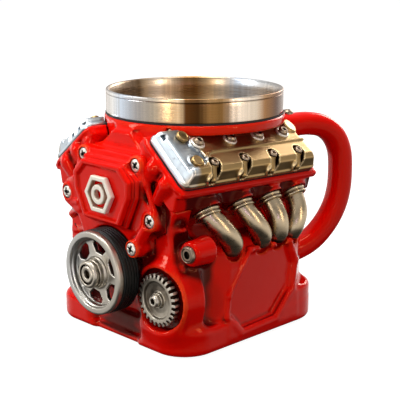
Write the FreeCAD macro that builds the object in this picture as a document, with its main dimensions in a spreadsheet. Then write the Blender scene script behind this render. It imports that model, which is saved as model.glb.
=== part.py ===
import FreeCAD, Part
import Sketcher
import math
import os

Vector = FreeCAD.Vector
Placement = FreeCAD.Placement
Rotation = FreeCAD.Rotation

# Engine-shaped drinking mug.  Millimetres, +Z up, the front (pulley end) faces -Y.
# The origin is on the cup's axis, in the plane the mug stands on.

SIZES = {
    # cup: polished rim band, steel liner and the casting's neck
    "rim_radius": 43.0, "rim_top": 114.9, "lip_height": 1.9, "band_bottom": 103.6, "band_wall": 1.1,
    "liner_radius": 40.7, "liner_wall": 0.8, "shoulder_level": 100.6, "bowl_half_width": 28.6,
    "bowl_half_length": 38.0, "bowl_foot_width": 25.0, "bowl_foot_length": 33.0, "bowl_floor": 7.0,
    "fit_gap": 0.3, "neck_radius": 43.8, "neck_bottom": 98.8, "neck_wall": 2.0,
    "seal_radius": 43.3, "seal_height": 0.7,
    # pan and crankcase of the casting
    "pan_half_width": 48.4, "pan_front": 53.6, "pan_back": 43.0, "pan_corner": 17.0, "pan_bottom": 0.8,
    "pan_top": 13.5, "pan_round": 2.2, "notch_half_width": 16.0, "notch_depth": 4.2,
    "pad_inset": 7.0, "pad_height": 2.3, "pad_corner": 9.0,
    "case_half_width": 48.0, "case_front": 47.0, "case_back": 41.0, "shoulder_height": 49.5,
    "waist_half_width": 31.5, "panel_depth": 1.8,
    # one bank of cylinders: seat plane, head and valve cover
    "bank_tilt": 40.0, "bank_pitch": 2.2, "bank_x": 45.2, "bank_y": 50.6, "bank_z": 78.8,
    "bank_width": 31.0, "bank_length": 88.0, "head_height": 9.0, "head_lip": 1.8, "gasket_height": 0.8,
    "cover_flange": 2.2, "cover_ridge": 8.5, "cover_inner": 5.6, "cover_wall": 1.6, "slot_width": 5.4,
    # exhaust stubs
    "pipe_radius": 4.9, "pipe_wall": 1.2, "collar_radius": 6.1, "collar_height": 3.6,
    # crank pulley on its fixed axle
    "pulley_z": 35.0, "pulley_radius": 19.6, "pulley_front": 66.0, "rim_depth": 3.4, "tyre_back": 53.6,
    "tyre_radius": 19.9, "rim_inner": 16.2, "web_front": 62.0, "web_back": 58.6, "hub_radius": 8.2,
    "nose_radius": 6.6, "nose_front": 69.0, "axle_radius": 2.6, "running_gap": 0.05, "cap_radius": 4.2,
    "spoke_width": 4.6, "drum_radius": 17.2,
    # timing gear on its fixed shoulder bolt
    "gear_x": 31.5, "gear_z": 27.0, "gear_front": 54.6, "gear_back": 51.2, "gear_radius": 12.2,
    "gear_root": 10.7, "gear_teeth": 26.0, "gear_dish": 8.6, "gear_hub": 3.6, "gear_bore": 1.8,
    "pocket_radius": 14.4, "pocket_rim": 16.8,
    # front cover with the emblem shield
    "cover_plate": 5.0, "shield_front": 60.0, "emblem_front": 61.6, "emblem_z": 71.4,
    # handle
    "handle_turn": 20.0, "handle_width": 12.7, "handle_depth": 11.8,
}


def fill_sheet(doc):
    """Put every driving size in a spreadsheet, one aliased cell each."""
    sheet = doc.addObject("Spreadsheet::Sheet", "Sizes")
    for row, (name, size) in enumerate(SIZES.items(), start=1):
        sheet.set("A%d" % row, name)
        sheet.set("B%d" % row, "%.4f" % size)
        sheet.setAlias("B%d" % row, name)
    doc.recompute()
    return sheet


def total(sheet, text):
    """Value of a sum such as "rim_radius - band_wall", read from the sheet."""
    value = 0.0
    sign = 1.0
    for word in text.split():
        if word in "+-":
            sign = 1.0 if word == "+" else -1.0
        elif word[0].isalpha():
            value += sign * float(sheet.get(word))
        else:
            value += sign * float(word)
    return value


def bound(text):
    """The same sum as a FreeCAD expression on the sheet's aliases."""
    words = ["Sizes." + word if word[0].isalpha() else word for word in text.split()]
    return " ".join(words)


def base_plane(body, role):
    """A body's own origin plane."""
    return [item for item in body.Origin.OriginFeatures if item.Role == role][0]


def new_body(doc, label):
    """An empty body whose label is the node's name."""
    body = doc.addObject("PartDesign::Body", label)
    body.Label = label
    return body


def closed_sketch(sheet, body, name, role, points):
    """A closed polygon whose corners are sums of sheet cells, fully dimensioned from the origin."""
    sketch = body.newObject("Sketcher::SketchObject", name)
    sketch.AttachmentSupport = [(base_plane(body, role), "")]
    sketch.MapMode = "FlatFace"
    spots = [Vector(total(sheet, across), total(sheet, up), 0.0) for across, up in points]
    count = len(spots)
    for index in range(count):
        sketch.addGeometry(Part.LineSegment(spots[index], spots[(index + 1) % count]), False)
    for index in range(count):
        sketch.addConstraint(Sketcher.Constraint("Coincident", index, 2, (index + 1) % count, 1))
    for index, (across, up) in enumerate(points):
        for kind, text, size in (("DistanceX", across, spots[index].x), ("DistanceY", up, spots[index].y)):
            number = sketch.addConstraint(Sketcher.Constraint(kind, -1, 1, index, 1, size))
            if any(character.isalpha() for character in text):
                sketch.setExpression("Constraints[%d]" % number, bound(text))
    return sketch


def revolved(doc, sheet, label, role, points):
    """A body turned from one profile about the sketch's vertical axis."""
    body = new_body(doc, label)
    sketch = closed_sketch(sheet, body, label + "_profile", role, points)
    turn = body.newObject("PartDesign::Revolution", label + "_turn")
    turn.Profile = sketch
    turn.ReferenceAxis = (sketch, ["V_Axis"])
    turn.Angle = 360.0
    body.Tip = turn
    return body


def prism(points, axis, low, high):
    """Solid prism: a polygon of pairs swept along one axis between two levels."""
    place = {
        "x": lambda first, second: Vector(low, first, second),
        "y": lambda first, second: Vector(first, low, second),
        "z": lambda first, second: Vector(first, second, low),
    }[axis]
    corners = [place(first, second) for first, second in points]
    along = {"x": Vector(1, 0, 0), "y": Vector(0, 1, 0), "z": Vector(0, 0, 1)}[axis]
    face = Part.Face(Part.makePolygon(corners + corners[:1]))
    return face.extrude(along * (high - low))


def rounded_block(half_width, front, back, corner, low, high):
    """Upright block with four round corners."""
    block = Part.makeBox(2 * half_width, front + back, high - low, Vector(-half_width, -front, low))
    upright = [edge for edge in block.Edges if abs(edge.tangentAt(edge.FirstParameter).z) > 0.9]
    return block.makeFillet(corner, upright)


def oval(half_width, half_length, level):
    """Closed elliptical wire with its long axis along Y."""
    long_end = Vector(0, half_length, level)
    short_end = Vector(half_width, 0, level)
    return Part.Wire([Part.Ellipse(long_end, short_end, Vector(0, 0, level)).toShape()])


def oval_bowl(sheet, grow, low, high):
    """Tapering oval solid, the bowl of the liner made wider by a given amount all round."""
    foot = oval(sheet.bowl_foot_width + grow, sheet.bowl_foot_length + grow, low)
    mouth = oval(sheet.bowl_half_width + grow, sheet.bowl_half_length + grow, high)
    return Part.makeLoft([foot, mouth], True)


def bank_place(sheet):
    """Placement of the right bank: local X runs outwards and down, Y back, Z off the cover."""
    tilt = Rotation(Vector(0, 1, 0), sheet.bank_tilt)
    pitch = Rotation(Vector(1, 0, 0), -sheet.bank_pitch)
    return Placement(Vector(sheet.bank_x, -sheet.bank_y, sheet.bank_z), pitch.multiply(tilt))


def placed(shape, place):
    """A copy of a shape moved by a placement."""
    copy = shape.copy()
    copy.Placement = place.multiply(copy.Placement)
    return copy


def mirrored(shape):
    """The same shape on the other side of the mug."""
    return shape.mirror(Vector(0, 0, 0), Vector(1, 0, 0))


def feature(doc, label, shape):
    """A plain feature that carries a shape made with Part's own functions."""
    item = doc.addObject("Part::Feature", label)
    item.Label = label
    item.Shape = shape
    return item


def pair(doc, label, shape):
    """Right-hand feature, and a mirror of it on the left."""
    right = feature(doc, label + "_right", shape)
    left = doc.addObject("Part::Mirroring", label + "_left")
    left.Label = label + "_left"
    left.Source = right
    left.Base = Vector(0, 0, 0)
    left.Normal = Vector(1, 0, 0)
    return [right, left]


# ---------------------------------------------------------------- cup and neck

def neck_envelope(sheet, gap):
    """Room taken by the cup's collar: the round neck ring and the oval wall under it."""
    radius = sheet.neck_radius + gap
    ring = Part.makeCylinder(radius, 30.0, Vector(0, 0, sheet.neck_bottom - gap))
    grow = sheet.liner_wall + sheet.fit_gap + sheet.neck_wall + gap
    wall = oval_bowl(sheet, grow, 20.0, sheet.neck_bottom)
    return ring.fuse(wall)


def cup_liner(doc, sheet):
    """Thin steel liner: round mouth with a rolled lip, stepping in to an oval bowl."""
    wall = sheet.liner_wall
    inner = sheet.liner_radius
    lip_bottom = sheet.rim_top - sheet.lip_height
    shoulder = sheet.shoulder_level - wall
    outside = Part.makeCylinder(inner + wall, lip_bottom - shoulder, Vector(0, 0, shoulder))
    lip = Part.makeCylinder(sheet.rim_radius, sheet.lip_height, Vector(0, 0, lip_bottom))
    crown = [edge for edge in lip.Edges if edge.BoundBox.ZMin > lip_bottom + 0.1 and len(edge.Vertexes) == 1]
    lip = lip.makeFillet(1.1, crown)
    bowl = oval_bowl(sheet, wall, sheet.bowl_floor - wall, shoulder + 0.2)
    solid = outside.fuse([lip, bowl])
    hollow = Part.makeCylinder(inner, 40.0, Vector(0, 0, sheet.shoulder_level))
    well = oval_bowl(sheet, 0.0, sheet.bowl_floor, sheet.shoulder_level + 0.2)
    return feature(doc, "cup_liner", solid.cut(hollow.fuse(well)).removeSplitter())


def rim_band(doc, sheet):
    """Polished outer band under the lip."""
    inner = "rim_radius - band_wall"
    low = "band_bottom"
    high = "rim_top - lip_height"
    points = [(inner, low), ("rim_radius", low), ("rim_radius", high), (inner, high)]
    return revolved(doc, sheet, "rim_band", "XZ_Plane", points)


def neck_seal(doc, sheet):
    """Dark sealing ring between the band and the casting's neck."""
    inner = "rim_radius - band_wall"
    low = "band_bottom - seal_height"
    points = [(inner, low), ("seal_radius", low), ("seal_radius", "band_bottom"), (inner, "band_bottom")]
    return revolved(doc, sheet, "neck_seal", "XZ_Plane", points)


# ---------------------------------------------------------------- castings

def pan_solid(sheet):
    """Oil pan: low rounded plinth with a step back in the middle of its front."""
    pan = rounded_block(sheet.pan_half_width, sheet.pan_front, sheet.pan_back, sheet.pan_corner,
                        sheet.pan_bottom, sheet.pan_top)
    top = [edge for edge in pan.Edges if edge.BoundBox.ZMin > sheet.pan_top - 0.1]
    pan = pan.makeFillet(sheet.pan_round, top)
    half = sheet.notch_half_width
    front = -sheet.pan_front
    back = front + sheet.notch_depth
    notch = prism([(-half - 5, front - 1), (half + 5, front - 1), (half, back), (-half, back)], "z", 0.0, 9.0)
    return pan.cut(notch)


def case_solid(sheet):
    """Crankcase and banks in front view, then trimmed at the corners."""
    wide = sheet.case_half_width
    waist = sheet.waist_half_width
    step = sheet.shoulder_height
    right = [(wide, 10.0), (wide - 2.0, step - 4.0), (wide - 5.5, step), (waist + 4.0, step + 1.5),
             (waist, 57.0), (waist, 64.0), (waist + 8.5, 71.5), (waist + 8.5, 78.0), (14.0, 99.0)]
    left = [(-across, up) for across, up in reversed(right)]
    case = prism(right + left, "y", -sheet.case_front, sheet.case_back)
    for side in (1, -1):
        front = [(side * 35.0, -60.0), (side * 60.0, -60.0), (side * 60.0, -25.0), (side * wide, -25.0),
                 (side * 36.0, -sheet.case_front)]
        back = [(side * wide, 23.0), (side * 60.0, 23.0), (side * 60.0, 60.0), (side * 34.0, 60.0),
                (side * 34.0, sheet.case_back)]
        case = case.cut(prism(front, "z", 8.0, 58.0))
        case = case.cut(prism(back, "z", 8.0, 58.0))
    return case


def front_bulkhead(sheet):
    """Front wall that joins each bank to the crankcase ahead of the exhaust recess."""
    right = [(37.0, 40.0), (36.5, 52.0), (35.5, 60.0), (40.0, 71.0), (40.0, 76.0), (20.0, 84.0)]
    left = [(-across, up) for across, up in reversed(right)]
    return prism(right + left, "y", -sheet.case_front - 2.2, -sheet.case_front + 8.0)


def bank_room(sheet):
    """Everything above the seat plane of one bank."""
    level = -sheet.head_height - sheet.gasket_height
    wide = sheet.bank_width + 14.0
    room = Part.makeBox(wide + 14.0, 130.0, 60.0, Vector(-wide, -20.0, level))
    return placed(room, bank_place(sheet))


def side_panel(sheet):
    """Recessed field in the side of the crankcase."""
    wide = sheet.case_half_width
    field = [(-7.0, 41.5), (17.5, 40.5), (18.5, 26.0), (17.5, 20.0), (10.5, 10.0), (-16.5, 10.0),
             (-24.5, 16.5), (-20.5, 27.5)]
    return prism(field, "x", wide - sheet.panel_depth, wide + 5.0)


def gear_pocket(sheet):
    """Raised round rim that the timing gear sits in, and the room inside it."""
    front = -sheet.case_front
    axis = Vector(0, 1, 0)
    rim = Part.makeCylinder(sheet.pocket_rim, 8.0, Vector(sheet.gear_x, front - 5.2, sheet.gear_z), axis)
    room = Part.makeCylinder(sheet.pocket_radius, 12.0, Vector(sheet.gear_x, front - 14.2, sheet.gear_z), axis)
    return rim, room


def plug_boss():
    """Round boss for the side plug, blended into the crankcase shoulder."""
    return Part.makeCylinder(5.8, 14.0, Vector(44.5, -46.5, 49.5), Vector(0, 1, 0))


def engine_block(doc, sheet):
    """Main casting: pan, crankcase, bank seats, valley deck and neck, bored for the liner."""
    body = case_solid(sheet).fuse(front_bulkhead(sheet))
    deck = prism([(-sheet.case_front - 2.2, 84.0), (-44.5, 90.0), (-41.0, 97.0), (sheet.case_back, 97.0),
                  (sheet.case_back, 80.0), (-sheet.case_front - 2.2, 80.0)], "x", -30.0, 30.0)
    body = body.fuse(deck)
    room = bank_room(sheet).fuse(head_solid(sheet))
    body = body.cut([room, mirrored(room)])
    ring = Part.makeCylinder(sheet.neck_radius, sheet.band_bottom - sheet.seal_height - sheet.neck_bottom,
                             Vector(0, 0, sheet.neck_bottom))
    round_edges = [edge for edge in ring.Edges if len(edge.Vertexes) == 1]
    ring = ring.makeFillet(0.9, round_edges)
    grow = sheet.liner_wall + sheet.fit_gap
    wall = oval_bowl(sheet, grow + sheet.neck_wall, 20.0, sheet.neck_bottom + 0.5)
    body = body.fuse([ring, wall, pan_solid(sheet)])
    rim, pocket = gear_pocket(sheet)
    panel = side_panel(sheet)
    body = body.fuse([plug_boss(), rim]).cut([panel, mirrored(panel), pocket])
    shoulder = sheet.shoulder_level - sheet.liner_wall
    mouth = Part.makeCylinder(sheet.liner_radius + grow, 30.0, Vector(0, 0, shoulder))
    bowl = oval_bowl(sheet, grow, sheet.bowl_floor - sheet.liner_wall, shoulder + 0.2)
    body = body.cut(mouth.fuse(bowl))
    inset = sheet.pad_inset - sheet.fit_gap
    recess = rounded_block(sheet.pan_half_width - inset, sheet.pan_front - inset, sheet.pan_back - inset,
                           sheet.pad_corner, 0.0, sheet.pad_height)
    body = body.cut(recess)
    body = body.fuse(Part.makeCylinder(13.0, 3.2, Vector(0, -sheet.case_front - 2.2, sheet.pulley_z), Vector(0, 1, 0)))
    body = body.cut(fastener_bores(sheet))
    for line in pipe_lines(sheet):
        socket = swept_pipe(line, sheet.pipe_radius + sheet.fit_gap)
        body = body.cut([socket, mirrored(socket)])
    return feature(doc, "engine_block", body.removeSplitter())


def fastener_bores(sheet):
    """Blind holes that hold the pulley's axle, the gear's bolt, the front screws and the side plug."""
    axis = Vector(0, 1, 0)
    holes = [Part.makeCylinder(1.2 + 0.02, 9.0, Vector(sheet.gear_x, -50.0, sheet.gear_z), axis),
             Part.makeCylinder(sheet.axle_radius + 0.01, 9.0, Vector(0, -sheet.case_front - 6.0, sheet.pulley_z), axis)]
    for across, up, stand in SCREW_PLACES:
        if stand == 0.0:
            holes.append(Part.makeCylinder(1.32, 5.0, Vector(across, -sheet.case_front - 4.0, up), axis))
    holes.append(Part.makeCylinder(2.0, 7.0, Vector(44.5, -47.0, 49.5), axis))
    return holes


def base_pad(doc, sheet):
    """Soft foot pad let into the underside."""
    inset = sheet.pad_inset
    pad = rounded_block(sheet.pan_half_width - inset, sheet.pan_front - inset, sheet.pan_back - inset,
                        sheet.pad_corner, 0.0, sheet.pad_height)
    return feature(doc, "base_pad", pad)


def head_solid(sheet):
    """Right head before trimming: a lip round the cover, and a skirt over the exhaust ports."""
    lip = sheet.head_lip
    top = -sheet.gasket_height
    low = top - sheet.head_height
    wide = sheet.bank_width
    profile = [(lip, top), (lip, top - 3.0), (0.0, top - 4.4), (3.4, low - 1.8), (1.2, low - 3.4),
               (-4.0, low - 3.4), (-6.5, low), (-wide + 6.0, low), (-wide - lip, low + 4.0), (-wide - lip, top)]
    return placed(prism(profile, "y", -lip, sheet.bank_length + lip), bank_place(sheet))


def cylinder_heads(doc, sheet):
    """Head casting of each bank, with a lip that frames the valve cover."""
    head = head_solid(sheet).cut(neck_envelope(sheet, sheet.fit_gap))
    for line in pipe_lines(sheet):
        foot, direction = collar_seat(line)
        socket = swept_pipe(line, sheet.pipe_radius + sheet.fit_gap)
        room = Part.makeCylinder(sheet.collar_radius + sheet.fit_gap, 9.0, foot - direction * 0.02, direction)
        head = head.cut([socket, room])
    return pair(doc, "cylinder_head", head.removeSplitter())


def cover_outline(sheet, inset, low, high):
    """Rounded plate on the bank's cover plane."""
    wide = sheet.bank_width
    plate = Part.makeBox(wide - 2 * inset, sheet.bank_length - 2 * inset, high - low,
                         Vector(-wide + inset, inset, low))
    upright = [edge for edge in plate.Edges if abs(edge.tangentAt(edge.FirstParameter).z) > 0.9]
    return plate.makeFillet(max(4.0 - inset, 1.0), upright)


def cover_gaskets(doc, sheet):
    """Thin gasket frame between each head and its valve cover."""
    outside = cover_outline(sheet, 0.0, -sheet.gasket_height, 0.0)
    inside = cover_outline(sheet, 3.0, -sheet.gasket_height - 1.0, 1.0)
    gasket = placed(outside.cut(inside), bank_place(sheet))
    return pair(doc, "cover_gasket", gasket.cut(neck_envelope(sheet, sheet.fit_gap)))


def cover_body(sheet, inset):
    """Raised part of a valve cover, or its hollow when inset by the wall."""
    wide = sheet.bank_width
    ridge = sheet.cover_ridge - inset
    inner = sheet.cover_inner - inset
    side = 1.0 + inset
    low = 0.5 if inset == 0.0 else -1.0
    profile = [(-side, low), (-side - 1.4, ridge - 1.6), (-side - 3.2, ridge), (-wide + 1.0 + inset, inner),
               (-wide + 1.0 + inset, low)]
    body = prism(profile, "y", side, sheet.bank_length - side)
    for end in (1, -1):
        edge = 0.0 if end > 0 else sheet.bank_length
        slope = [(edge - end * 5.0, 1.0), (edge + end * (1.0 + inset), 1.0), (edge + end * (6.0 + inset), 12.0),
                 (edge - end * 5.0, 12.0)]
        body = body.cut(prism(slope, "x", -60.0, 20.0))
    return body


STUD_LINE = -7.2
SLOT_PLACES = (19.0, 38.5, 57.5, 75.5)
INNER_BOLTS = ((-19.0, 17.5), (-19.0, 38.0), (-19.0, 56.5), (-19.0, 74.0))


def valve_covers(doc, sheet):
    """Pressed valve covers: flange, raised body, stepped front, bolt slots; hollow underneath."""
    flange = cover_outline(sheet, 0.0, 0.0, sheet.cover_flange)
    cover = flange.fuse(cover_body(sheet, 0.0))
    step = prism([(-6.2, 1.0), (-6.2, 14.3), (-9.0, 16.5), (-40.0, 16.5), (-40.0, 1.0)], "z", 6.3, 20.0)
    cover = cover.cut(step)
    low_roof = Part.makeBox(60.0, 18.0, 20.0, Vector(-50.0, 0.0, 6.3 - sheet.cover_wall))
    cover = cover.cut(cover_body(sheet, sheet.cover_wall).cut(low_roof))
    half = sheet.slot_width / 2.0
    inside = cover_body(sheet, 0.2)
    for along in SLOT_PLACES:
        slot = Part.makeBox(6.6, 2 * half, 20.0, Vector(-5.6, along - half, 2.6))
        round_end = Part.makeCylinder(half, 20.0, Vector(STUD_LINE, along, 5.2))
        tray = Part.makeBox(10.4, 2 * half + 2.4, 4.8, Vector(-11.2, along - half - 1.2, 1.0))
        hole = Part.makeCylinder(1.06, 20.0, Vector(STUD_LINE, along, 2.0))
        cover = cover.fuse(tray.common(inside)).cut([slot, round_end, hole])
    for across, along in INNER_BOLTS:
        post = Part.makeCylinder(2.6, 6.2, Vector(across, along, 0.4))
        hole = placed(Part.makeCylinder(1.22, 20.0, Vector(0, 0, -12.0)), bolt_seat(sheet, across, along))
        cover = cover.fuse(post.common(inside)).cut(hole)
    cover = placed(cover, bank_place(sheet)).cut(neck_envelope(sheet, sheet.fit_gap))
    return pair(doc, "valve_cover", cover.removeSplitter())


def cover_top(sheet, across):
    """Height of the cover's upper skin above the flange plane."""
    outer = -4.2
    inner = -sheet.bank_width + 1.0
    share = (across - outer) / (inner - outer)
    return sheet.cover_ridge + share * (sheet.cover_inner - sheet.cover_ridge)


def bolt_seat(sheet, across, along):
    """Seat of an inner bolt on the sloping upper skin of the cover, in the bank's own frame."""
    run = sheet.bank_width - 5.2
    lean = math.degrees(math.atan((sheet.cover_ridge - sheet.cover_inner) / run))
    return Placement(Vector(across, along, cover_top(sheet, across) + 0.02), Rotation(Vector(0, 1, 0), -lean))


def dome_bolt(head_radius, head_height, shank_radius, shank_length, socket):
    """Domed bolt along Z, its seat at zero and a round socket in the head."""
    head = Part.makeCylinder(head_radius, head_height)
    crown = [edge for edge in head.Edges if edge.BoundBox.ZMin > head_height - 0.1 and len(edge.Vertexes) == 1]
    head = head.makeFillet(head_height * 0.45, crown)
    shank = Part.makeCylinder(shank_radius, shank_length, Vector(0, 0, -shank_length))
    recess = Part.makeCylinder(socket, head_height, Vector(0, 0, head_height * 0.45))
    return head.fuse(shank).cut(recess)


def cover_fasteners(doc, sheet):
    """Inner row of bolts with washers, outer row in the slots, and the two round caps in front."""
    place = bank_place(sheet)
    washers = []
    bolts = []
    for across, along in INNER_BOLTS:
        seat = bolt_seat(sheet, across, along)
        ring = Part.makeCylinder(3.5, 1.2).cut(Part.makeCylinder(1.3, 3.0, Vector(0, 0, -1.0)))
        washers.append(placed(ring, place.multiply(seat)))
        raised = seat.multiply(Placement(Vector(0, 0, 1.2), Rotation()))
        bolts.append(placed(dome_bolt(2.4, 1.9, 1.15, 5.0, 0.9), place.multiply(raised)))
    studs = []
    for along in SLOT_PLACES:
        seat = Placement(Vector(STUD_LINE, along, 5.2), Rotation())
        studs.append(placed(dome_bolt(2.1, 2.2, 1.0, 2.6, 0.8), place.multiply(seat)))
    caps = []
    for across, along, height in ((-24.0, 12.0, 6.3), (-9.6, 11.0, 6.3)):
        cap = Part.makeCylinder(3.0, 1.8)
        crown = [edge for edge in cap.Edges if edge.BoundBox.ZMin > 1.7 and len(edge.Vertexes) == 1]
        cap = cap.makeFillet(0.6, crown)
        caps.append(placed(cap, place.multiply(Placement(Vector(across, along, height), Rotation()))))
    made = []
    for label, group in (("cover_washers", washers), ("cover_bolts", bolts), ("slot_bolts", studs),
                         ("cover_caps", caps)):
        made += pair(doc, label, Part.Compound(group))
    return made


# ---------------------------------------------------------------- exhaust

def pipe_lines(sheet):
    """Centre-line points of the four right-hand exhaust stubs, from head to crankcase."""
    rows = ((-31.0, -19.0), (-9.5, 0.5), (10.0, 11.5), (27.5, 22.0))
    lines = []
    for start, end in rows:
        middle = start + 0.42 * (end - start)
        lines.append([Vector(35.5, start, 70.5), Vector(39.6, start, 65.0), Vector(45.0, middle, 57.0),
                      Vector(45.6, end - 0.12 * (end - start), 50.5), Vector(43.6, end, 45.5)])
    return lines


def collar_seat(line):
    """Where the clamp collar of one stub starts, and the direction it faces."""
    direction = (line[1] - line[0]).normalize()
    return line[1] - direction * 0.6, direction


def swept_pipe(line, radius):
    """Round bar swept along a smooth curve through the points of a line."""
    curve = Part.BSplineCurve()
    curve.interpolate(line)
    start = line[0]
    tangent = curve.tangent(curve.FirstParameter)[0]
    ring = Part.Wire([Part.Circle(start, tangent, radius).toShape()])
    return Part.Wire([curve.toShape()]).makePipeShell([ring], True, True)


def exhaust(doc, sheet):
    """Four exhaust stubs a side and their clamp collars."""
    made = []
    collars = []
    for index, line in enumerate(pipe_lines(sheet), start=1):
        bar = swept_pipe(line, sheet.pipe_radius)
        made += pair(doc, "exhaust_pipe_%d" % index, bar)
        foot, direction = collar_seat(line)
        outer = Part.makeCylinder(sheet.collar_radius, sheet.collar_height, foot, direction)
        inner = Part.makeCylinder(sheet.pipe_radius + 0.2, 20.0, foot - direction * 5.0, direction)
        groove = Part.makeTorus(sheet.collar_radius + 0.1, 0.4, foot + direction * 2.0, direction)
        collars.append(outer.cut([inner, groove]).cut(swept_pipe(line, sheet.pipe_radius + 0.06)))
    made += pair(doc, "exhaust_collars", Part.Compound(collars))
    return made


# ---------------------------------------------------------------- front end

def front_cover(doc, sheet):
    """Timing cover: plate with screw ears, stepped shield for the emblem and a boss for the axle."""
    back = -sheet.case_front - 2.2
    front = back - sheet.cover_plate
    outline = [(-22.0, 90.5), (22.0, 90.5), (23.0, 84.0), (24.0, 72.0), (31.5, 66.0), (31.5, 59.0),
               (25.0, 57.0), (19.0, 44.0), (12.0, 44.0), (10.0, 40.0), (-10.0, 40.0), (-12.0, 44.0),
               (-19.0, 44.0), (-25.0, 57.0), (-36.0, 62.0), (-36.0, 70.0), (-24.0, 74.0), (-23.0, 84.0)]
    plate = prism(outline, "y", front, back)
    middle = sheet.emblem_z
    frame = [(-13.5, 86.0), (13.5, 86.0), (20.2, 79.5), (19.6, 72.0), (13.0, 58.5), (-13.0, 58.5),
             (-19.6, 72.0), (-20.2, 79.5)]
    step = [(across * 1.13, middle + (up - middle) * 1.12) for across, up in frame]
    solid = plate.fuse(prism(step, "y", -sheet.shield_front + 2.8, back))
    solid = solid.fuse(prism(frame, "y", -sheet.shield_front, back))
    field = [(across * 0.82, middle + (up - middle) * 0.82) for across, up in frame]
    solid = solid.cut(prism(field, "y", -sheet.shield_front - 1.0, -sheet.shield_front + 1.2))
    axis = Vector(0, -1, 0)
    boss = Part.makeCylinder(13.0, sheet.cover_plate - 1.6, Vector(0, back, sheet.pulley_z), axis)
    solid = solid.fuse(boss)
    across, up, stand = SCREW_PLACES[-1]
    solid = solid.fuse(Part.makeCylinder(3.9, sheet.cover_plate + stand, Vector(across, back, up), axis))
    solid = solid.fuse(prism([(24.0, 64.0), (28.6, 61.6), (21.6, 48.0), (17.4, 50.4)], "y", front - 2.2, back))
    hole = Part.makeCylinder(sheet.axle_radius + 0.01, 20.0, Vector(0, back + 5.0, sheet.pulley_z), axis)
    relief = Part.makeCylinder(sheet.tyre_radius + 0.3, 20.0, Vector(0, 0.4 - sheet.tyre_back, sheet.pulley_z), axis)
    solid = solid.cut([hole, relief])
    for across, up, stand in SCREW_PLACES:
        seat = Part.makeCylinder(3.1, 3.0, Vector(across, front + 0.9 - stand, up), axis)
        bore = Part.makeCylinder(1.32, 20.0, Vector(across, front - 9.0, up), Vector(0, 1, 0))
        solid = solid.cut([seat, bore])
    head = head_solid(sheet)
    near = head.copy()
    near.translate(Vector(-0.3, 0.0, -0.3))
    solid = solid.cut([head, near, mirrored(head), mirrored(near)])
    return feature(doc, "front_cover", solid.removeSplitter())


# across, up, and how far the seat stands off the plate
SCREW_PLACES = ((-18.5, 86.6, 0.0), (18.5, 86.6, 0.0), (-32.2, 66.2, 0.0), (27.4, 62.6, 0.0), (19.3, 49.1, 4.2))


def front_screws(doc, sheet):
    """Cross-head screws of the front cover, one group of equal solids."""
    front = -sheet.case_front - 2.2 - sheet.cover_plate + 0.9
    turn = Rotation(Vector(1, 0, 0), 90.0)
    group = []
    for across, up, stand in SCREW_PLACES:
        screw = dome_bolt(2.9, 1.7, 1.3, 5.0, 0.6)
        cross = Part.makeBox(3.6, 0.8, 2.0, Vector(-1.8, -0.4, 0.8)).fuse(
            Part.makeBox(0.8, 3.6, 2.0, Vector(-0.4, -1.8, 0.8)))
        group.append(placed(screw.cut(cross), Placement(Vector(across, front - stand, up), turn)))
    return feature(doc, "front_screws", Part.Compound(group))


def emblem(doc, sheet):
    """Plain ivory badge: a rounded hexagon frame around a ring."""
    center = Vector(0, 0, sheet.emblem_z)
    back = -sheet.shield_front + 1.2
    front = -sheet.emblem_front
    corners = []
    holes = []
    for step in range(6):
        angle = math.radians(60.0 * step)
        corners.append((9.6 * math.cos(angle), center.z + 9.6 * math.sin(angle)))
        holes.append((7.4 * math.cos(angle), center.z + 7.4 * math.sin(angle)))
    frame = prism(corners, "y", front, back).cut(prism(holes, "y", front - 1.0, back + 1.0))
    ring = Part.makeCylinder(4.6, back - front, Vector(0, front, center.z), Vector(0, 1, 0))
    ring = ring.cut(Part.makeCylinder(2.3, 20.0, Vector(0, front - 1.0, center.z), Vector(0, 1, 0)))
    return feature(doc, "emblem", Part.Compound([frame, ring]))


def side_plug(doc, sheet):
    """Socket plug on the right-hand shoulder of the crankcase, its seat just ahead of the case front."""
    turn = Rotation(Vector(1, 0, 0), 90.0)
    seat = Vector(44.5, 0.5 - sheet.case_front, 49.5)
    return feature(doc, "side_plug", placed(dome_bolt(4.0, 1.8, 1.9, 5.0, 1.6), Placement(seat, turn)))


def pulley_wheel(doc, sheet):
    """Metal pulley: rim, drum under the tyre, dished web cut into six spokes, and hub."""
    bore = "axle_radius + running_gap"
    front = "0 - pulley_front"
    points = [(bore, "0 - web_front - 1.0"), ("hub_radius", "0 - web_front - 1.0"), ("hub_radius", "0 - web_front"),
              ("rim_inner", "0 - web_front"), ("rim_inner", front), ("pulley_radius", front),
              ("pulley_radius", "0 - pulley_front + rim_depth"), ("drum_radius", "0 - pulley_front + rim_depth"),
              ("drum_radius", "0 - tyre_back"), ("drum_radius - 2.0", "0 - tyre_back"),
              ("drum_radius - 2.0", "0 - web_back"), (bore, "0 - web_back")]
    body = revolved(doc, sheet, "crank_pulley", "XY_Plane", points)
    doc.recompute()
    window = closed_sketch(sheet, body, "spoke_window", "XZ_Plane",
                           [("0 - 1.7", "hub_radius + 1.0"), ("1.7", "hub_radius + 1.0"),
                            ("5.6", "rim_inner - 2.6"), ("4.2", "rim_inner - 1.0"), ("0 - 4.2", "rim_inner - 1.0"),
                            ("0 - 5.6", "rim_inner - 2.6")])
    pocket = body.newObject("PartDesign::Pocket", "spoke_pocket")
    pocket.Profile = window
    pocket.Type = 1
    pocket.Midplane = True
    pattern = body.newObject("PartDesign::PolarPattern", "spoke_pattern")
    pattern.Originals = [pocket]
    pattern.Axis = (base_axis(body, "Y_Axis"), [""])
    pattern.Angle = 360.0
    pattern.Occurrences = 6
    body.Tip = pattern
    body.Placement = Placement(Vector(0, 0, sheet.pulley_z), Rotation(Vector(0, 1, 0), 8.0))
    return body


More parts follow.
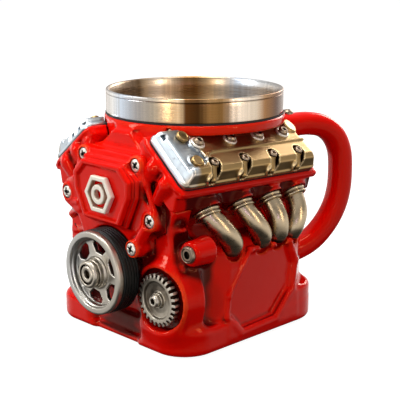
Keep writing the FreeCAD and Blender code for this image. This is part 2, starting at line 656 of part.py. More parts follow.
def base_axis(body, role):
    """A body's own origin axis."""
    return [item for item in body.Origin.OriginFeatures if item.Role == role][0]


def pulley_tyre(doc, sheet):
    """Black grooved belt tyre pressed on the pulley's drum."""
    back = sheet.tyre_back
    front = sheet.pulley_front - sheet.rim_depth
    steps = 5
    pitch = (front - back) / steps
    points = [("drum_radius + 0.01", "0 - %.4f" % front)]
    for index in range(steps):
        level = front - index * pitch
        points.append(("tyre_radius", "0 - %.4f" % (level - 0.02)))
        points.append(("tyre_radius", "0 - %.4f" % (level - pitch + 0.7)))
        points.append(("tyre_radius - 0.9", "0 - %.4f" % (level - pitch + 0.45)))
    points.append(("tyre_radius - 0.9", "0 - %.4f" % back))
    points.append(("drum_radius + 0.01", "0 - %.4f" % back))
    body = revolved(doc, sheet, "pulley_tyre", "XY_Plane", points)
    body.Placement = Placement(Vector(0, 0, sheet.pulley_z), Rotation())
    return body


def pulley_nose(doc, sheet):
    """Hub nose on the pulley, with a recessed front around the axle cap."""
    bore = "axle_radius + running_gap"
    points = [(bore, "0 - web_front - 1.0"), ("nose_radius", "0 - web_front - 1.0"),
              ("nose_radius", "0 - nose_front + 0.8"), ("nose_radius - 0.8", "0 - nose_front"),
              ("cap_radius + 0.4", "0 - nose_front"), ("cap_radius + 0.4", "0 - nose_front + 1.6"),
              (bore, "0 - nose_front + 1.6")]
    body = revolved(doc, sheet, "pulley_nose", "XY_Plane", points)
    body.Placement = Placement(Vector(0, 0, sheet.pulley_z), Rotation())
    return body


def pulley_axle(doc, sheet):
    """Fixed shoulder bolt that the pulley turns on, with a drilled cap."""
    back = "0 - case_front + 2.5"
    cap_back = "0 - nose_front + 1.6 - running_gap"
    points = [("0", back), ("axle_radius", back), ("axle_radius", cap_back), ("cap_radius", cap_back),
              ("cap_radius", "0 - nose_front + 0.2"), ("1.9", "0 - nose_front + 0.2"), ("1.9", "0 - nose_front + 2.2"),
              ("0", "0 - nose_front + 2.2")]
    body = revolved(doc, sheet, "pulley_axle", "XY_Plane", points)
    body.Placement = Placement(Vector(0, 0, sheet.pulley_z), Rotation())
    return body


def timing_gear(doc, sheet):
    """Dished spur gear: a ring of straight teeth, a recessed web and a hub."""
    body = revolved(doc, sheet, "timing_gear", "XY_Plane", [
        ("gear_bore + running_gap", "0 - gear_back"), ("gear_root", "0 - gear_back"),
        ("gear_root", "0 - gear_front"), ("gear_dish", "0 - gear_front"), ("gear_dish", "0 - gear_front + 1.6"),
        ("gear_hub", "0 - gear_front + 1.6"), ("gear_hub", "0 - gear_front"),
        ("gear_bore + running_gap", "0 - gear_front")])
    doc.recompute()
    tooth = closed_sketch(sheet, body, "tooth_outline", "XZ_Plane",
                          [("0 - 0.95", "gear_root - 0.4"), ("0.95", "gear_root - 0.4"),
                           ("0.5", "gear_radius"), ("0 - 0.5", "gear_radius")])
    tooth.AttachmentOffset = Placement(Vector(0, 0, sheet.gear_back), Rotation())
    pad = body.newObject("PartDesign::Pad", "tooth_pad")
    pad.Profile = tooth
    pad.setExpression("Length", "Sizes.gear_front - Sizes.gear_back")
    pattern = body.newObject("PartDesign::PolarPattern", "tooth_pattern")
    pattern.Originals = [pad]
    pattern.Axis = (base_axis(body, "Y_Axis"), [""])
    pattern.Angle = 360.0
    pattern.Occurrences = int(sheet.gear_teeth)
    body.Tip = pattern
    body.Placement = Placement(Vector(sheet.gear_x, 0, sheet.gear_z), Rotation())
    return body


def gear_bolt(doc, sheet):
    """Fixed shoulder bolt of the timing gear, with a socket in its head."""
    seat = "0 - case_front - 2.2"
    head = "0 - gear_front - running_gap"
    points = [("0", "0 - case_front + 5.0"), ("1.2", "0 - case_front + 5.0"), ("1.2", seat), ("gear_bore", seat),
              ("gear_bore", head), ("3.0", head), ("3.0", "0 - gear_front - 2.2"), ("1.3", "0 - gear_front - 2.2"),
              ("1.3", "0 - gear_front - 0.6"), ("0", "0 - gear_front - 0.6")]
    body = revolved(doc, sheet, "gear_bolt", "XY_Plane", points)
    body.Placement = Placement(Vector(sheet.gear_x, 0, sheet.gear_z), Rotation())
    return body


# ---------------------------------------------------------------- handle

HANDLE_LINE = ((44.0, 91.6), (53.0, 92.4), (63.0, 92.6), (72.0, 90.6), (79.0, 85.2), (83.2, 77.0), (84.4, 66.5),
               (83.6, 56.0), (80.6, 46.5), (75.0, 37.6), (67.0, 30.2), (57.0, 26.0), (44.0, 24.0))


def handle(doc, sheet):
    """Grip: a rounded bar bent in one upright plane, both roots let into the back of the casting."""
    line = [Vector(0, out, up) for out, up in HANDLE_LINE]
    curve = Part.BSplineCurve()
    curve.interpolate(line)
    wide = sheet.handle_width / 2.0
    deep = sheet.handle_depth / 2.0
    tangent = curve.tangent(curve.FirstParameter)[0]
    ellipse = Part.Ellipse(line[0] + Vector(wide, 0, 0), line[0] + tangent.cross(Vector(1, 0, 0)) * deep, line[0])
    ring = Part.Wire([ellipse.toShape()])
    bar = Part.Wire([curve.toShape()]).makePipeShell([ring], True, True)
    collar = Part.makeCone(8.6, 7.2, 8.0, Vector(0, 42.0, 91.5), Vector(0, 1, 0))
    foot = Part.makeCone(8.6, 7.0, 7.0, Vector(0, 42.0, 24.2), Vector(0, 1, 0))
    grip = bar.fuse([collar, foot])
    grip.rotate(Vector(0, 0, 0), Vector(0, 0, 1), -sheet.handle_turn)
    grip = grip.cut(handle_room(doc, sheet))
    seat = handle_bolt_place(sheet)
    hole = Part.makeCylinder(1.55, 12.0, Vector(0, 0, -8.0)).fuse(Part.makeCylinder(3.2, 6.0))
    return feature(doc, "handle", grip.cut(placed(hole, seat)).removeSplitter())


def handle_room(doc, sheet):
    """What the handle's roots are cut back to: the casting, both heads and the cup's collar."""
    names = ("engine_block", "cylinder_head_right", "valve_cover_right", "cover_gasket_right")
    tools = [doc.getObject(name).Shape for name in names]
    tools.append(Part.makeBox(80.0, 82.0, 110.0, Vector(-40.0, -sheet.case_back, 0.0)))
    tools.append(Part.makeCylinder(sheet.neck_radius + 0.3, 12.0, Vector(0, 0, sheet.neck_bottom)))
    return tools


def handle_bolt_place(sheet):
    """Seat of the bolt on top of the handle's upper root."""
    turn = math.radians(sheet.handle_turn)
    out = 51.5
    return Placement(Vector(out * math.sin(turn), out * math.cos(turn), 98.2), Rotation())


def handle_bolt(doc, sheet):
    """Bolt that ties the upper root of the handle down."""
    bolt = dome_bolt(2.9, 2.3, 1.5, 6.0, 1.0)
    return feature(doc, "handle_bolt", placed(bolt, handle_bolt_place(sheet)))


# ---------------------------------------------------------------- build and write

def check(doc, nodes):
    """Stop if any object failed or any sub-part has no valid shape."""
    for item in doc.Objects:
        if "Invalid" in item.State or "Error" in item.State:
            raise RuntimeError("failed object: %s %s" % (item.Name, item.State))
    for node in nodes:
        if node.Shape.isNull() or not node.Shape.isValid() or not node.Shape.Solids:
            raise RuntimeError("bad shape: %s" % node.Label)


def main():
    """Build the document, check it and write one file per sub-part."""
    doc = FreeCAD.newDocument("engine_mug")
    sheet = fill_sheet(doc)
    nodes = []
    for build in (engine_block, base_pad, cup_liner, rim_band, neck_seal, cylinder_heads, cover_gaskets,
                  valve_covers, cover_fasteners, exhaust, front_cover, front_screws, emblem, side_plug,
                  pulley_wheel, pulley_tyre, pulley_nose, pulley_axle, timing_gear, gear_bolt, handle,
                  handle_bolt):
        made = build(doc, sheet)
        nodes += made if isinstance(made, list) else [made]
        doc.recompute()
    check(doc, nodes)
    os.makedirs("parts", exist_ok=True)
    for node in nodes:
        box = node.Shape.BoundBox
        print("%-24s %2d solids %9.1f mm3  x %6.1f %6.1f  y %6.1f %6.1f  z %6.1f %6.1f" % (
            node.Label, len(node.Shape.Solids), node.Shape.Volume, box.XMin, box.XMax, box.YMin, box.YMax,
            box.ZMin, box.ZMax))
        node.Shape.exportStep("parts/%s.step" % node.Label)


main()
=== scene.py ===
"""Looks of the engine mug: a red V-engine casting round a steel cup, with bronze covers and stubs."""
import logging
import math
from dataclasses import dataclass, field
from enum import Enum
from typing import Callable, Optional, Sequence

import bpy
import numpy as np
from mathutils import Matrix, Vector


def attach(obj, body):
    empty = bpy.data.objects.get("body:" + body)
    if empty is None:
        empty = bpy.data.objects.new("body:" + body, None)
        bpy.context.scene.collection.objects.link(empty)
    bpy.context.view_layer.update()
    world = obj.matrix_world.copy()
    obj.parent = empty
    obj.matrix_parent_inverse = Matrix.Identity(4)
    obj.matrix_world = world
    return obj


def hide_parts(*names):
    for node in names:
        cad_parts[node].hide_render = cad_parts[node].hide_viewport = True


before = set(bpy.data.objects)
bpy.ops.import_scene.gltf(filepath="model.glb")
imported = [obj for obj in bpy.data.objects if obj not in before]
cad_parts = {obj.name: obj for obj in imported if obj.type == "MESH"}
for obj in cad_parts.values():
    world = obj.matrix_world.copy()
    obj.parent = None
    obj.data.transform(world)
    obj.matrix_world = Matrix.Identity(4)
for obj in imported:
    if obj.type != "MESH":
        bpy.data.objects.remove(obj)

LOG = logging.getLogger("engine_mug")
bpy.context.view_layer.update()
MM = 0.001
Array = np.ndarray
Distance = Callable[[Array], Array]
Pair = tuple[float, float]
Triple = tuple[float, float, float]

PROBE = 0.05  # half the span, in millimetres, over which a slope is measured
LEAST_SLOPE = 0.2  # squared slope below which a pull onto the surface is held back
# the hollow mark drives painted shade in inner corners, the crest mark painted highlights on outer corners
HOLLOW_GAPS = ((1.2, 0.35), (3.5, 0.4), (8.0, 0.25))  # (way out, weight) of each look for an inner corner
CREST_GAPS = ((0.7, 0.6), (1.8, 0.4))  # (way in, weight) of each look for an outer corner
PULLEY_PLACE = (0.0, 35.0)  # across and up, in millimetres, in front view
GEAR_PLACE = (31.5, 27.0)
PLUG_PLACE = (44.5, 49.5)


class Body(Enum):
    """The CAD bodies that pieces ride on."""

    MUG = "mug"
    PULLEY = "pulley"
    GEAR = "gear"


class Side(Enum):
    """The two banks of the V, as the names of their pieces and nodes end."""

    RIGHT = "right"
    LEFT = "left"


class Axis(Enum):
    """Axis that a prism is drawn out along, as an index into x, y, z."""

    X = 0
    Y = 1
    Z = 2


class Mix(Enum):
    """How one shape joins the shapes before it."""

    ADD = "add"
    CUT = "cut"
    KEEP = "keep"


# ---------------------------------------------------------------- solids as distance functions

def soft_low(first: Array, second: Array, reach: float) -> Array:
    """Lower of two distances, melted into a fillet where they differ by less than the reach.

    Args:
        first: distances to one shape.
        second: distances to the other.
        reach: size of the fillet in millimetres; 0 leaves a sharp joint.

    Returns:
        min(first, second) less reach * s * (1 - s), s being the share of the first.
    """
    if reach <= 0.0:
        return np.minimum(first, second)
    share = np.clip(0.5 + 0.5 * (second - first) / reach, 0.0, 1.0)
    return second + (first - second) * share - reach * share * (1.0 - share)


def rounded_slab(flat: Array, tall: Array, edge: float) -> Array:
    """Distance to a slab whose flat and tall distances are already shrunk by the edge radius."""
    outside = np.hypot(np.maximum(flat, 0.0), np.maximum(tall, 0.0))
    return np.minimum(np.maximum(flat, tall), 0.0) + outside - edge


def shrunk(corners: Sequence[Pair], edge: float) -> Array:
    """Polygon with each side moved inwards by the edge radius.

    Args:
        corners: the polygon's corners, either way round.
        edge: how far each side moves.

    Returns:
        The new corners, each where two moved sides meet.
    """
    ring = np.asarray(corners, float)
    ahead = np.roll(ring, -1, axis=0)
    if np.sum(ring[:, 0] * ahead[:, 1] - ahead[:, 0] * ring[:, 1]) < 0.0:
        ring = ring[::-1]
        ahead = np.roll(ring, -1, axis=0)
    along = ahead - ring
    along /= np.linalg.norm(along, axis=1, keepdims=True)
    normal = np.stack([-along[:, 1], along[:, 0]], axis=1)
    before = np.roll(normal, 1, axis=0)
    turn = 1.0 + np.sum(normal * before, axis=1, keepdims=True)
    return ring + edge * (normal + before) / np.maximum(turn, 0.3)


def outline_distance(across: Array, up: Array, ring: Array) -> Array:
    """Signed distance to a polygon: the nearest side, negative where a ray crosses an odd number of sides.

    Args:
        across: first coordinates of the points.
        up: second coordinates of the points.
        ring: the polygon's corners.

    Returns:
        One distance per point.
    """
    best = np.full(across.shape, 1e9)
    inside = np.zeros(across.shape, bool)
    for start, end in zip(ring, np.roll(ring, -1, axis=0)):
        side = end - start
        run, rise = across - start[0], up - start[1]
        share = np.clip((run * side[0] + rise * side[1]) / (side @ side), 0.0, 1.0)
        best = np.minimum(best, (run - side[0] * share) ** 2 + (rise - side[1] * share) ** 2)
        over = (start[1] > up) != (end[1] > up)
        level = np.where(over, (up - start[1]) / (side[1] if side[1] else 1.0), 0.0)
        inside ^= over & (across < start[0] + side[0] * level)
    return np.where(inside, -1.0, 1.0) * np.sqrt(best)


@dataclass(frozen=True)
class Prism:
    """Polygon drawn out along an axis, all edges rounded."""

    corners: tuple[Pair, ...]
    axis: Axis
    low: float
    high: float
    edge: float = 0.8

    def distance(self, spots: Array) -> Array:
        """Signed distance to the solid.

        Args:
            spots: rows of x, y, z in millimetres.

        Returns:
            One distance per spot, negative inside.
        """
        first, second = [index for index in range(3) if index != self.axis.value]
        flat = outline_distance(spots[:, first], spots[:, second], shrunk(self.corners, self.edge))
        middle, half = 0.5 * (self.low + self.high), 0.5 * (self.high - self.low)
        tall = np.abs(spots[:, self.axis.value] - middle) - (half - self.edge)
        return rounded_slab(flat, tall, self.edge)


@dataclass(frozen=True)
class Plate:
    """Upright block on a rounded rectangle."""

    low: Triple
    high: Triple
    corner: float
    edge: float = 0.8

    def distance(self, spots: Array) -> Array:
        """Signed distance to the solid.

        Args:
            spots: rows of x, y, z in millimetres.

        Returns:
            One distance per spot, negative inside.
        """
        low, high = np.asarray(self.low), np.asarray(self.high)
        half = 0.5 * (high - low)
        away = np.abs(spots - 0.5 * (low + high)) - half
        bend = max(self.corner - self.edge, 0.0)
        flat = away[:, :2] + self.edge + bend
        ring = np.hypot(np.maximum(flat[:, 0], 0.0), np.maximum(flat[:, 1], 0.0))
        flat_distance = ring + np.minimum(flat.max(axis=1), 0.0) - bend
        return rounded_slab(flat_distance, away[:, 2] + self.edge, self.edge)


@dataclass(frozen=True)
class Drum:
    """Round bar between two points, straight or tapering, with rounded rims."""

    start: Triple
    end: Triple
    radius: float
    end_radius: Optional[float] = None
    edge: float = 0.5

    def distance(self, spots: Array) -> Array:
        """Signed distance to the solid.

        Args:
            spots: rows of x, y, z in millimetres.

        Returns:
            One distance per spot, negative inside.
        """
        start = np.asarray(self.start, float)
        run = np.asarray(self.end, float) - start
        length = float(np.linalg.norm(run))
        away = spots - start
        along = away @ (run / length)
        out = np.sqrt(np.maximum(np.sum(away * away, axis=1) - along * along, 0.0))
        last = self.radius if self.end_radius is None else self.end_radius
        radius = self.radius + (last - self.radius) * np.clip(along / length, 0.0, 1.0)
        tall = np.abs(along - 0.5 * length) - (0.5 * length - self.edge)
        return rounded_slab(out - (radius - self.edge), tall, self.edge)


@dataclass(frozen=True)
class Bar:
    """Bar with ball ends between two points."""

    start: Triple
    end: Triple
    radius: float
    end_radius: Optional[float] = None

    def distance(self, spots: Array) -> Array:
        """Signed distance to the solid.

        Args:
            spots: rows of x, y, z in millimetres.

        Returns:
            One distance per spot, negative inside.
        """
        start = np.asarray(self.start, float)
        run = np.asarray(self.end, float) - start
        share = np.clip((spots - start) @ run / (run @ run), 0.0, 1.0)
        last = self.radius if self.end_radius is None else self.end_radius
        radius = self.radius + (last - self.radius) * share
        return np.linalg.norm(spots - start - share[:, None] * run, axis=1) - radius


@dataclass(frozen=True)
class OvalCone:
    """Upright oval body whose half-axes change evenly from its foot to its mouth."""

    foot: Pair
    mouth: Pair
    low: float
    high: float
    edge: float = 0.6

    def distance(self, spots: Array) -> Array:
        """Near distance: the oval's own radius share less one, times its narrow half-axis.

        Args:
            spots: rows of x, y, z in millimetres.

        Returns:
            One distance per spot, negative inside.
        """
        share = (spots[:, 2] - self.low) / (self.high - self.low)
        wide = self.foot[0] + (self.mouth[0] - self.foot[0]) * share - self.edge
        long = self.foot[1] + (self.mouth[1] - self.foot[1]) * share - self.edge
        ring = np.hypot(spots[:, 0] / wide, spots[:, 1] / long)
        flat = (ring - 1.0) * np.minimum(wide, long)
        middle, half = 0.5 * (self.low + self.high), 0.5 * (self.high - self.low)
        tall = np.abs(spots[:, 2] - middle) - (half - self.edge)
        return rounded_slab(flat, tall, self.edge)


@dataclass(frozen=True)
class Twin:
    """A shape and its mirror image on the other side of the mug."""

    shape: object

    def distance(self, spots: Array) -> Array:
        """Distance to the right-hand shape at |x|.

        Args:
            spots: rows of x, y, z in millimetres.

        Returns:
            One distance per spot, negative inside.
        """
        folded = spots.copy()
        folded[:, 0] = np.abs(folded[:, 0])
        return self.shape.distance(folded)


@dataclass(frozen=True)
class Step:
    """One shape of a recipe, how it joins, and how wide the fillet is."""

    mix: Mix
    shape: object
    reach: float = 0.0


@dataclass(frozen=True)
class Recipe:
    """Shapes joined in order, which is a shape itself."""

    steps: tuple[Step, ...]

    def distance(self, spots: Array) -> Array:
        """Signed distance after every step.

        Args:
            spots: rows of x, y, z in millimetres.

        Returns:
            One distance per spot, negative inside.
        """
        result = self.steps[0].shape.distance(spots)
        for step in self.steps[1:]:
            other = step.shape.distance(spots)
            if step.mix is Mix.ADD:
                result = soft_low(result, other, step.reach)
            elif step.mix is Mix.CUT:
                result = -soft_low(-result, other, step.reach)
            else:
                result = -soft_low(-result, -other, step.reach)
        return result


@dataclass(frozen=True)
class Bank:
    """Frame of the right bank: local x runs outwards and down, y back, z off the cover."""

    origin: Triple = (45.2, -50.6, 78.8)
    tilt: float = 40.0
    pitch: float = 2.2

    def turn(self) -> Array:
        """Matrix whose columns are the local axes.

        Returns:
            A 3 by 3 matrix.
        """
        tilt, pitch = math.radians(self.tilt), math.radians(-self.pitch)
        about_y = np.array([[math.cos(tilt), 0.0, math.sin(tilt)], [0.0, 1.0, 0.0],
                            [-math.sin(tilt), 0.0, math.cos(tilt)]])
        about_x = np.array([[1.0, 0.0, 0.0], [0.0, math.cos(pitch), -math.sin(pitch)],
                            [0.0, math.sin(pitch), math.cos(pitch)]])
        return about_x @ about_y

    def to_mug(self, spots: Array) -> Array:
        """Local spots in the mug's frame."""
        return spots @ self.turn().T + np.asarray(self.origin)

    def to_bank(self, spots: Array) -> Array:
        """Mug spots in the bank's own frame."""
        return (spots - np.asarray(self.origin)) @ self.turn()


@dataclass(frozen=True)
class Banked:
    """A shape drawn in the right bank's frame, measured from the mug's."""

    shape: object
    bank: Bank = Bank()

    def distance(self, spots: Array) -> Array:
        """Distance at the same spots seen from the bank."""
        return self.shape.distance(self.bank.to_bank(spots))


@dataclass(frozen=True)
class Unbanked:
    """A shape drawn in the mug's frame, measured from the right bank's."""

    shape: object
    bank: Bank = Bank()

    def distance(self, spots: Array) -> Array:
        """Distance at the same spots seen from the mug."""
        return self.shape.distance(self.bank.to_mug(spots))


def facing(place: Pair, start: float, end: float, radius: float, end_radius: Optional[float] = None,
           edge: float = 0.5) -> Drum:
    """Drum along y at a place of the front view.

    Args:
        place: across and up.
        start: y where it starts.
        end: y where it ends.
        radius: radius at the start.
        end_radius: radius at the end, if it tapers.
        edge: rounding of both rims.

    Returns:
        The drum.
    """
    across, up = place
    return Drum((across, start, up), (across, end, up), radius, end_radius, edge)


def cell_size(fine: float) -> float:
    return fine


# ---------------------------------------------------------------- meshes

@dataclass
class Surface:
    """Points in millimetres, faces as rows of point numbers, and a value per point for each attribute."""

    points: Array
    faces: Array
    marks: dict[str, Array] = field(default_factory=dict)

    def mirrored(self) -> "Surface":
        """The surface on the other side of the mug, faces still outwards."""
        flipped = self.points * np.array([-1.0, 1.0, 1.0])
        return Surface(flipped, self.faces[:, ::-1], dict(self.marks))

    def reversed(self) -> "Surface":
        """The surface with its faces turned round."""
        return Surface(self.points, self.faces[:, ::-1], self.marks)

    def moved(self, change: Callable[[Array], Array]) -> "Surface":
        """The surface with every point put through a function."""
        return Surface(change(self.points), self.faces, dict(self.marks))


def joined(parts: Sequence[Surface]) -> Surface:
    """Several surfaces as one mesh, their point numbers shifted along.

    Args:
        parts: surfaces that carry the same marks.

    Returns:
        One surface.
    """
    starts = np.cumsum([0] + [len(part.points) for part in parts[:-1]])
    names = parts[0].marks.keys()
    return Surface(np.concatenate([part.points for part in parts]),
                   np.concatenate([part.faces + start for part, start in zip(parts, starts)]),
                   {name: np.concatenate([part.marks[name] for part in parts]) for name in names})


def make_piece(name: str, surface: Surface, body: Body, nodes: Sequence[str], material: bpy.types.Material,
               keep_sharp: float = 0.0) -> bpy.types.Object:
    """Put a surface into Blender, hang it on its CAD body and hide the CAD nodes that it replaces.

    Args:
        name: the piece's name.
        surface: the mesh; faces with a repeated corner are made triangles.
        body: the CAD body it rides on.
        nodes: CAD nodes that it replaces.
        material: its finish.
        keep_sharp: edges bent by more than this many degrees stay crisp; 0 smooths all.

    Returns:
        The new object.
    """
    spots, back = np.unique(np.round(surface.points, 4), axis=0, return_inverse=True)
    back = back.reshape(-1)
    first = np.zeros(len(spots), int)
    first[back] = np.arange(len(surface.points))
    faces = back[surface.faces]
    same = faces == np.roll(faces, -1, axis=1)
    whole = faces[~same.any(axis=1)]
    cut = faces[same.sum(axis=1) == 1]
    kept = ~(cut == np.roll(cut, -1, axis=1))
    corners = cut[kept].reshape(-1, faces.shape[1] - 1) if len(cut) else np.zeros((0, 3), int)
    mesh = bpy.data.meshes.new(name)
    mesh.from_pydata((spots * MM).tolist(), [], whole.tolist() + corners.tolist())
    mesh.validate()
    for mark, values in surface.marks.items():
        layer = mesh.attributes.new(mark, "FLOAT", "POINT")
        layer.data.foreach_set("value", np.asarray(values, np.float32)[first])
    mesh.polygons.foreach_set("use_smooth", np.ones(len(mesh.polygons), bool))
    if keep_sharp > 0.0:
        mesh.set_sharp_from_angle(angle=math.radians(keep_sharp))
    mesh.materials.append(material)
    piece = bpy.data.objects.new(name, mesh)
    bpy.context.scene.collection.objects.link(piece)
    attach(piece, body.value)
    if nodes:
        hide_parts(*nodes)
    LOG.info("%s: %d faces on %s", name, len(mesh.polygons), body.value)
    return piece


def make_pair(name: str, right: Surface, node: str, material: bpy.types.Material,
              keep_sharp: float = 0.0) -> None:
    """Make a fixed piece on the right bank and its mirror image on the left.

    Args:
        name: the pieces' name without its side.
        right: the right-hand mesh in the mug's frame.
        node: the replaced nodes' name without its side.
        material: the finish of both.
        keep_sharp: edges bent by more than this many degrees stay crisp; 0 smooths all.
    """
    for side, surface in ((Side.RIGHT, right), (Side.LEFT, right.mirrored())):
        make_piece(f"{name}_{side.value}", surface, Body.MUG, [f"{node}_{side.value}"], material, keep_sharp)


def slope_of(shape: Distance, spots: Array) -> Array:
    """Gradient of a distance, by the difference across each spot on each axis.

    Args:
        shape: the distance function.
        spots: rows of x, y, z in millimetres.

    Returns:
        One gradient per spot.
    """
    parts = []
    for index in range(3):
        shift = np.zeros(3)
        shift[index] = PROBE
        parts.append((shape(spots + shift) - shape(spots - shift)) / (2.0 * PROBE))
    return np.stack(parts, axis=1)


@dataclass(frozen=True)
class Foundry:
    """Turns a distance function into a closed quad mesh of even cells.

    A block whose middle is within near_cells of its own size, plus near_gap, is worked out in full.
    """

    cell: float
    block: int = 4
    near_cells: float = 1.25
    near_gap: float = 0.4
    batch: int = 6000
    pulls: int = 3
    longest_pull: float = 0.6

    def levels(self, shape: Distance, low: Array, count: Array) -> Array:
        """Distances on the whole lattice, worked out only in blocks near the surface.

        Args:
            shape: the distance function.
            low: lowest corner of the lattice.
            count: blocks along each axis.

        Returns:
            One value per lattice point; far blocks hold the value of their middle.
        """
        size = self.block
        steps = [(np.arange(number) + 0.5) * size - 0.5 for number in count]
        middles = low + self.cell * np.stack(np.meshgrid(*steps, indexing="ij"), axis=-1).reshape(-1, 3)
        rough = shape(middles).reshape(count)
        fine = np.repeat(np.repeat(np.repeat(rough, size, 0), size, 1), size, 2)
        near = np.argwhere(np.abs(rough) < size * self.cell * self.near_cells + self.near_gap)
        inner = np.stack(np.meshgrid(*[np.arange(size)] * 3, indexing="ij"), axis=-1).reshape(-1, 3)
        for batch in np.array_split(near, max(1, len(near) // self.batch)):
            places = (batch[:, None, :] * size + inner[None]).reshape(-1, 3)
            fine[tuple(places.T)] = shape(low + self.cell * places)
        return fine

    def cast(self, shape: Distance, low: Triple, high: Triple) -> Surface:
        """Mesh of the zero level: one point per lattice cell it passes through, pulled onto the surface.

        Args:
            shape: the distance function.
            low: lowest corner of the room to search.
            high: highest corner.

        Returns:
            The surface, with marks "hollow" for inner corners and "crest" for outer ones, which drive painted shade
            and painted highlights.
        """
        corner = np.asarray(low, float)
        count = np.ceil((np.asarray(high) - corner) / (self.cell * self.block)).astype(int)
        fine = self.levels(shape, corner, count)
        inside = fine < 0.0
        cells = np.array(fine.shape) - 1
        total = np.zeros((*cells, 3), np.float32)
        number = np.zeros(cells, np.float32)
        crossings = []
        for axis in range(3):
            first = np.take(fine, range(fine.shape[axis] - 1), axis)
            second = np.take(fine, range(1, fine.shape[axis]), axis)
            cross = (first < 0.0) != (second < 0.0)
            share = np.where(cross, first / np.where(cross, first - second, 1.0), 0.0).astype(np.float32)
            crossings.append(cross)
            others = [index for index in range(3) if index != axis]
            for one in (0, 1):
                for two in (0, 1):
                    pick = [slice(None)] * 3
                    pick[others[0]] = slice(one, one + cells[others[0]])
                    pick[others[1]] = slice(two, two + cells[others[1]])
                    hit = cross[tuple(pick)]
                    number += hit
                    total[..., axis] += share[tuple(pick)]
                    total[..., others[0]] += one * hit
                    total[..., others[1]] += two * hit
        active = number > 0
        index = np.full(cells, -1)
        index[active] = np.arange(np.count_nonzero(active))
        places = np.argwhere(active) + total[active] / number[active][:, None]
        faces = self.stitch(crossings, inside, index, cells)
        points = corner + self.cell * places
        longest = self.longest_pull * self.cell
        for _ in range(self.pulls):
            slope = slope_of(shape, points)
            steepness = np.maximum(np.sum(slope * slope, axis=1, keepdims=True), LEAST_SLOPE)
            points = points - np.clip(shape(points)[:, None] * slope / steepness, -longest, longest)
        return Surface(points, faces, relief_marks(shape, points))

    def stitch(self, crossings: list[Array], inside: Array, index: Array, cells: Array) -> Array:
        """One quad round every lattice edge that crosses the surface, turned to face outwards.

        Args:
            crossings: for each axis, which lattice edges along it cross the surface.
            inside: which lattice points are inside.
            index: point number of each cell, -1 where it has none.
            cells: cells along each axis.

        Returns:
            Rows of four point numbers.
        """
        faces = []
        for axis, cross in enumerate(crossings):
            one, two = (axis + 1) % 3, (axis + 2) % 3
            keep = [slice(None)] * 3
            keep[one], keep[two] = slice(1, cells[one]), slice(1, cells[two])
            places = np.argwhere(cross[tuple(keep)])
            places[:, one] += 1
            places[:, two] += 1
            quad = []
            for back_one, back_two in ((1, 1), (0, 1), (0, 0), (1, 0)):
                spot = places.copy()
                spot[:, one] -= back_one
                spot[:, two] -= back_two
                quad.append(index[tuple(spot.T)])
            quad = np.stack(quad, axis=1)
            outward = inside[tuple(places.T)]
            faces.append(np.where(outward[:, None], quad, quad[:, ::-1]))
        return np.concatenate(faces)


def relief_marks(shape: Distance, points: Array) -> dict[str, Array]:
    """Marks for painted shade in hollows and painted highlights on crests: how far the distance a little way out, or
    in, differs from flat.

    Args:
        shape: the distance function.
        points: points of its surface.

    Returns:
        "hollow" and "crest", a value from 0 to 1 for each point.
    """
    slope = slope_of(shape, points)
    normal = slope / np.maximum(np.linalg.norm(slope, axis=1, keepdims=True), 1e-6)
    hollow = np.zeros(len(points))
    crest = np.zeros(len(points))
    for gap, weight in HOLLOW_GAPS:
        hollow += weight * np.clip((gap - shape(points + normal * gap)) / gap, 0.0, 1.0)
    for gap, weight in CREST_GAPS:
        crest += weight * np.clip((shape(points - normal * gap) + gap) / gap, 0.0, 1.0)
    return {"hollow": hollow, "crest": crest}


def grid_faces(rows: int, columns: int, wrap_rows: bool, wrap_columns: bool) -> Array:
    """Quads of a grid of points numbered row by row.

    Args:
        rows: rows of points.
        columns: points in each row.
        wrap_rows: join the last row to the first.
        wrap_columns: join the last column to the first.

    Returns:
        Rows of four point numbers.
    """
    row = np.arange(rows if wrap_rows else rows - 1)[:, None]
    column = np.arange(columns if wrap_columns else columns - 1)[None, :]
    next_row, next_column = (row + 1) % rows, (column + 1) % columns
    corners = (row * columns + column, row * columns + next_column, next_row * columns + next_column,
               next_row * columns + column)
    return np.stack(np.broadcast_arrays(*corners), axis=-1).reshape(-1, 4)


def grid_surface(points: Array, wrap_rows: bool, wrap_columns: bool,
                 marks: Optional[dict[str, Array]] = None) -> Surface:
    """Surface over a grid of points.

    Args:
        points: an array of rows, columns and x, y, z.
        wrap_rows: join the last row to the first.
        wrap_columns: join the last column to the first.
        marks: values for each attribute that spread over the grid; "hollow" and "crest" are 0 if missing.

    Returns:
        The surface.
    """
    rows, columns = points.shape[:2]
    flat = {name: np.broadcast_to(values, (rows, columns)).reshape(-1) for name, values in (marks or {}).items()}
    flat.setdefault("hollow", np.zeros(rows * columns))
    flat.setdefault("crest", np.zeros(rows * columns))
    return Surface(points.reshape(-1, 3), grid_faces(rows, columns, wrap_rows, wrap_columns), flat)


def filleted(corners: Sequence[Sequence[float]], count: int = 5) -> Array:
    """Profile with its corners rounded.

    Args:
        corners: the coordinates and then the fillet of each corner; a fillet of 0 keeps the corner.
        count: points on each fillet.

    Returns:
        Points along the profile: each fillet is a quadratic curve from one side to the next.
    """
    spots = np.asarray([corner[:-1] for corner in corners], float)
    result = [spots[:1]]
    for before, middle, after, size in zip(spots[:-2], spots[1:-1], spots[2:], [c[-1] for c in corners[1:-1]]):
        if size <= 0.0:
            result.append(middle[None])
            continue
        into, out = before - middle, after - middle
        near = min(size, 0.45 * np.linalg.norm(into), 0.45 * np.linalg.norm(out))
        start = middle + into / np.linalg.norm(into) * near
        end = middle + out / np.linalg.norm(out) * near
        share = np.linspace(0.0, 1.0, count)[:, None]
        result.append(start * (1 - share) ** 2 + 2 * middle * share * (1 - share) + end * share ** 2)
    result.append(spots[-1:])
    return np.concatenate(result)


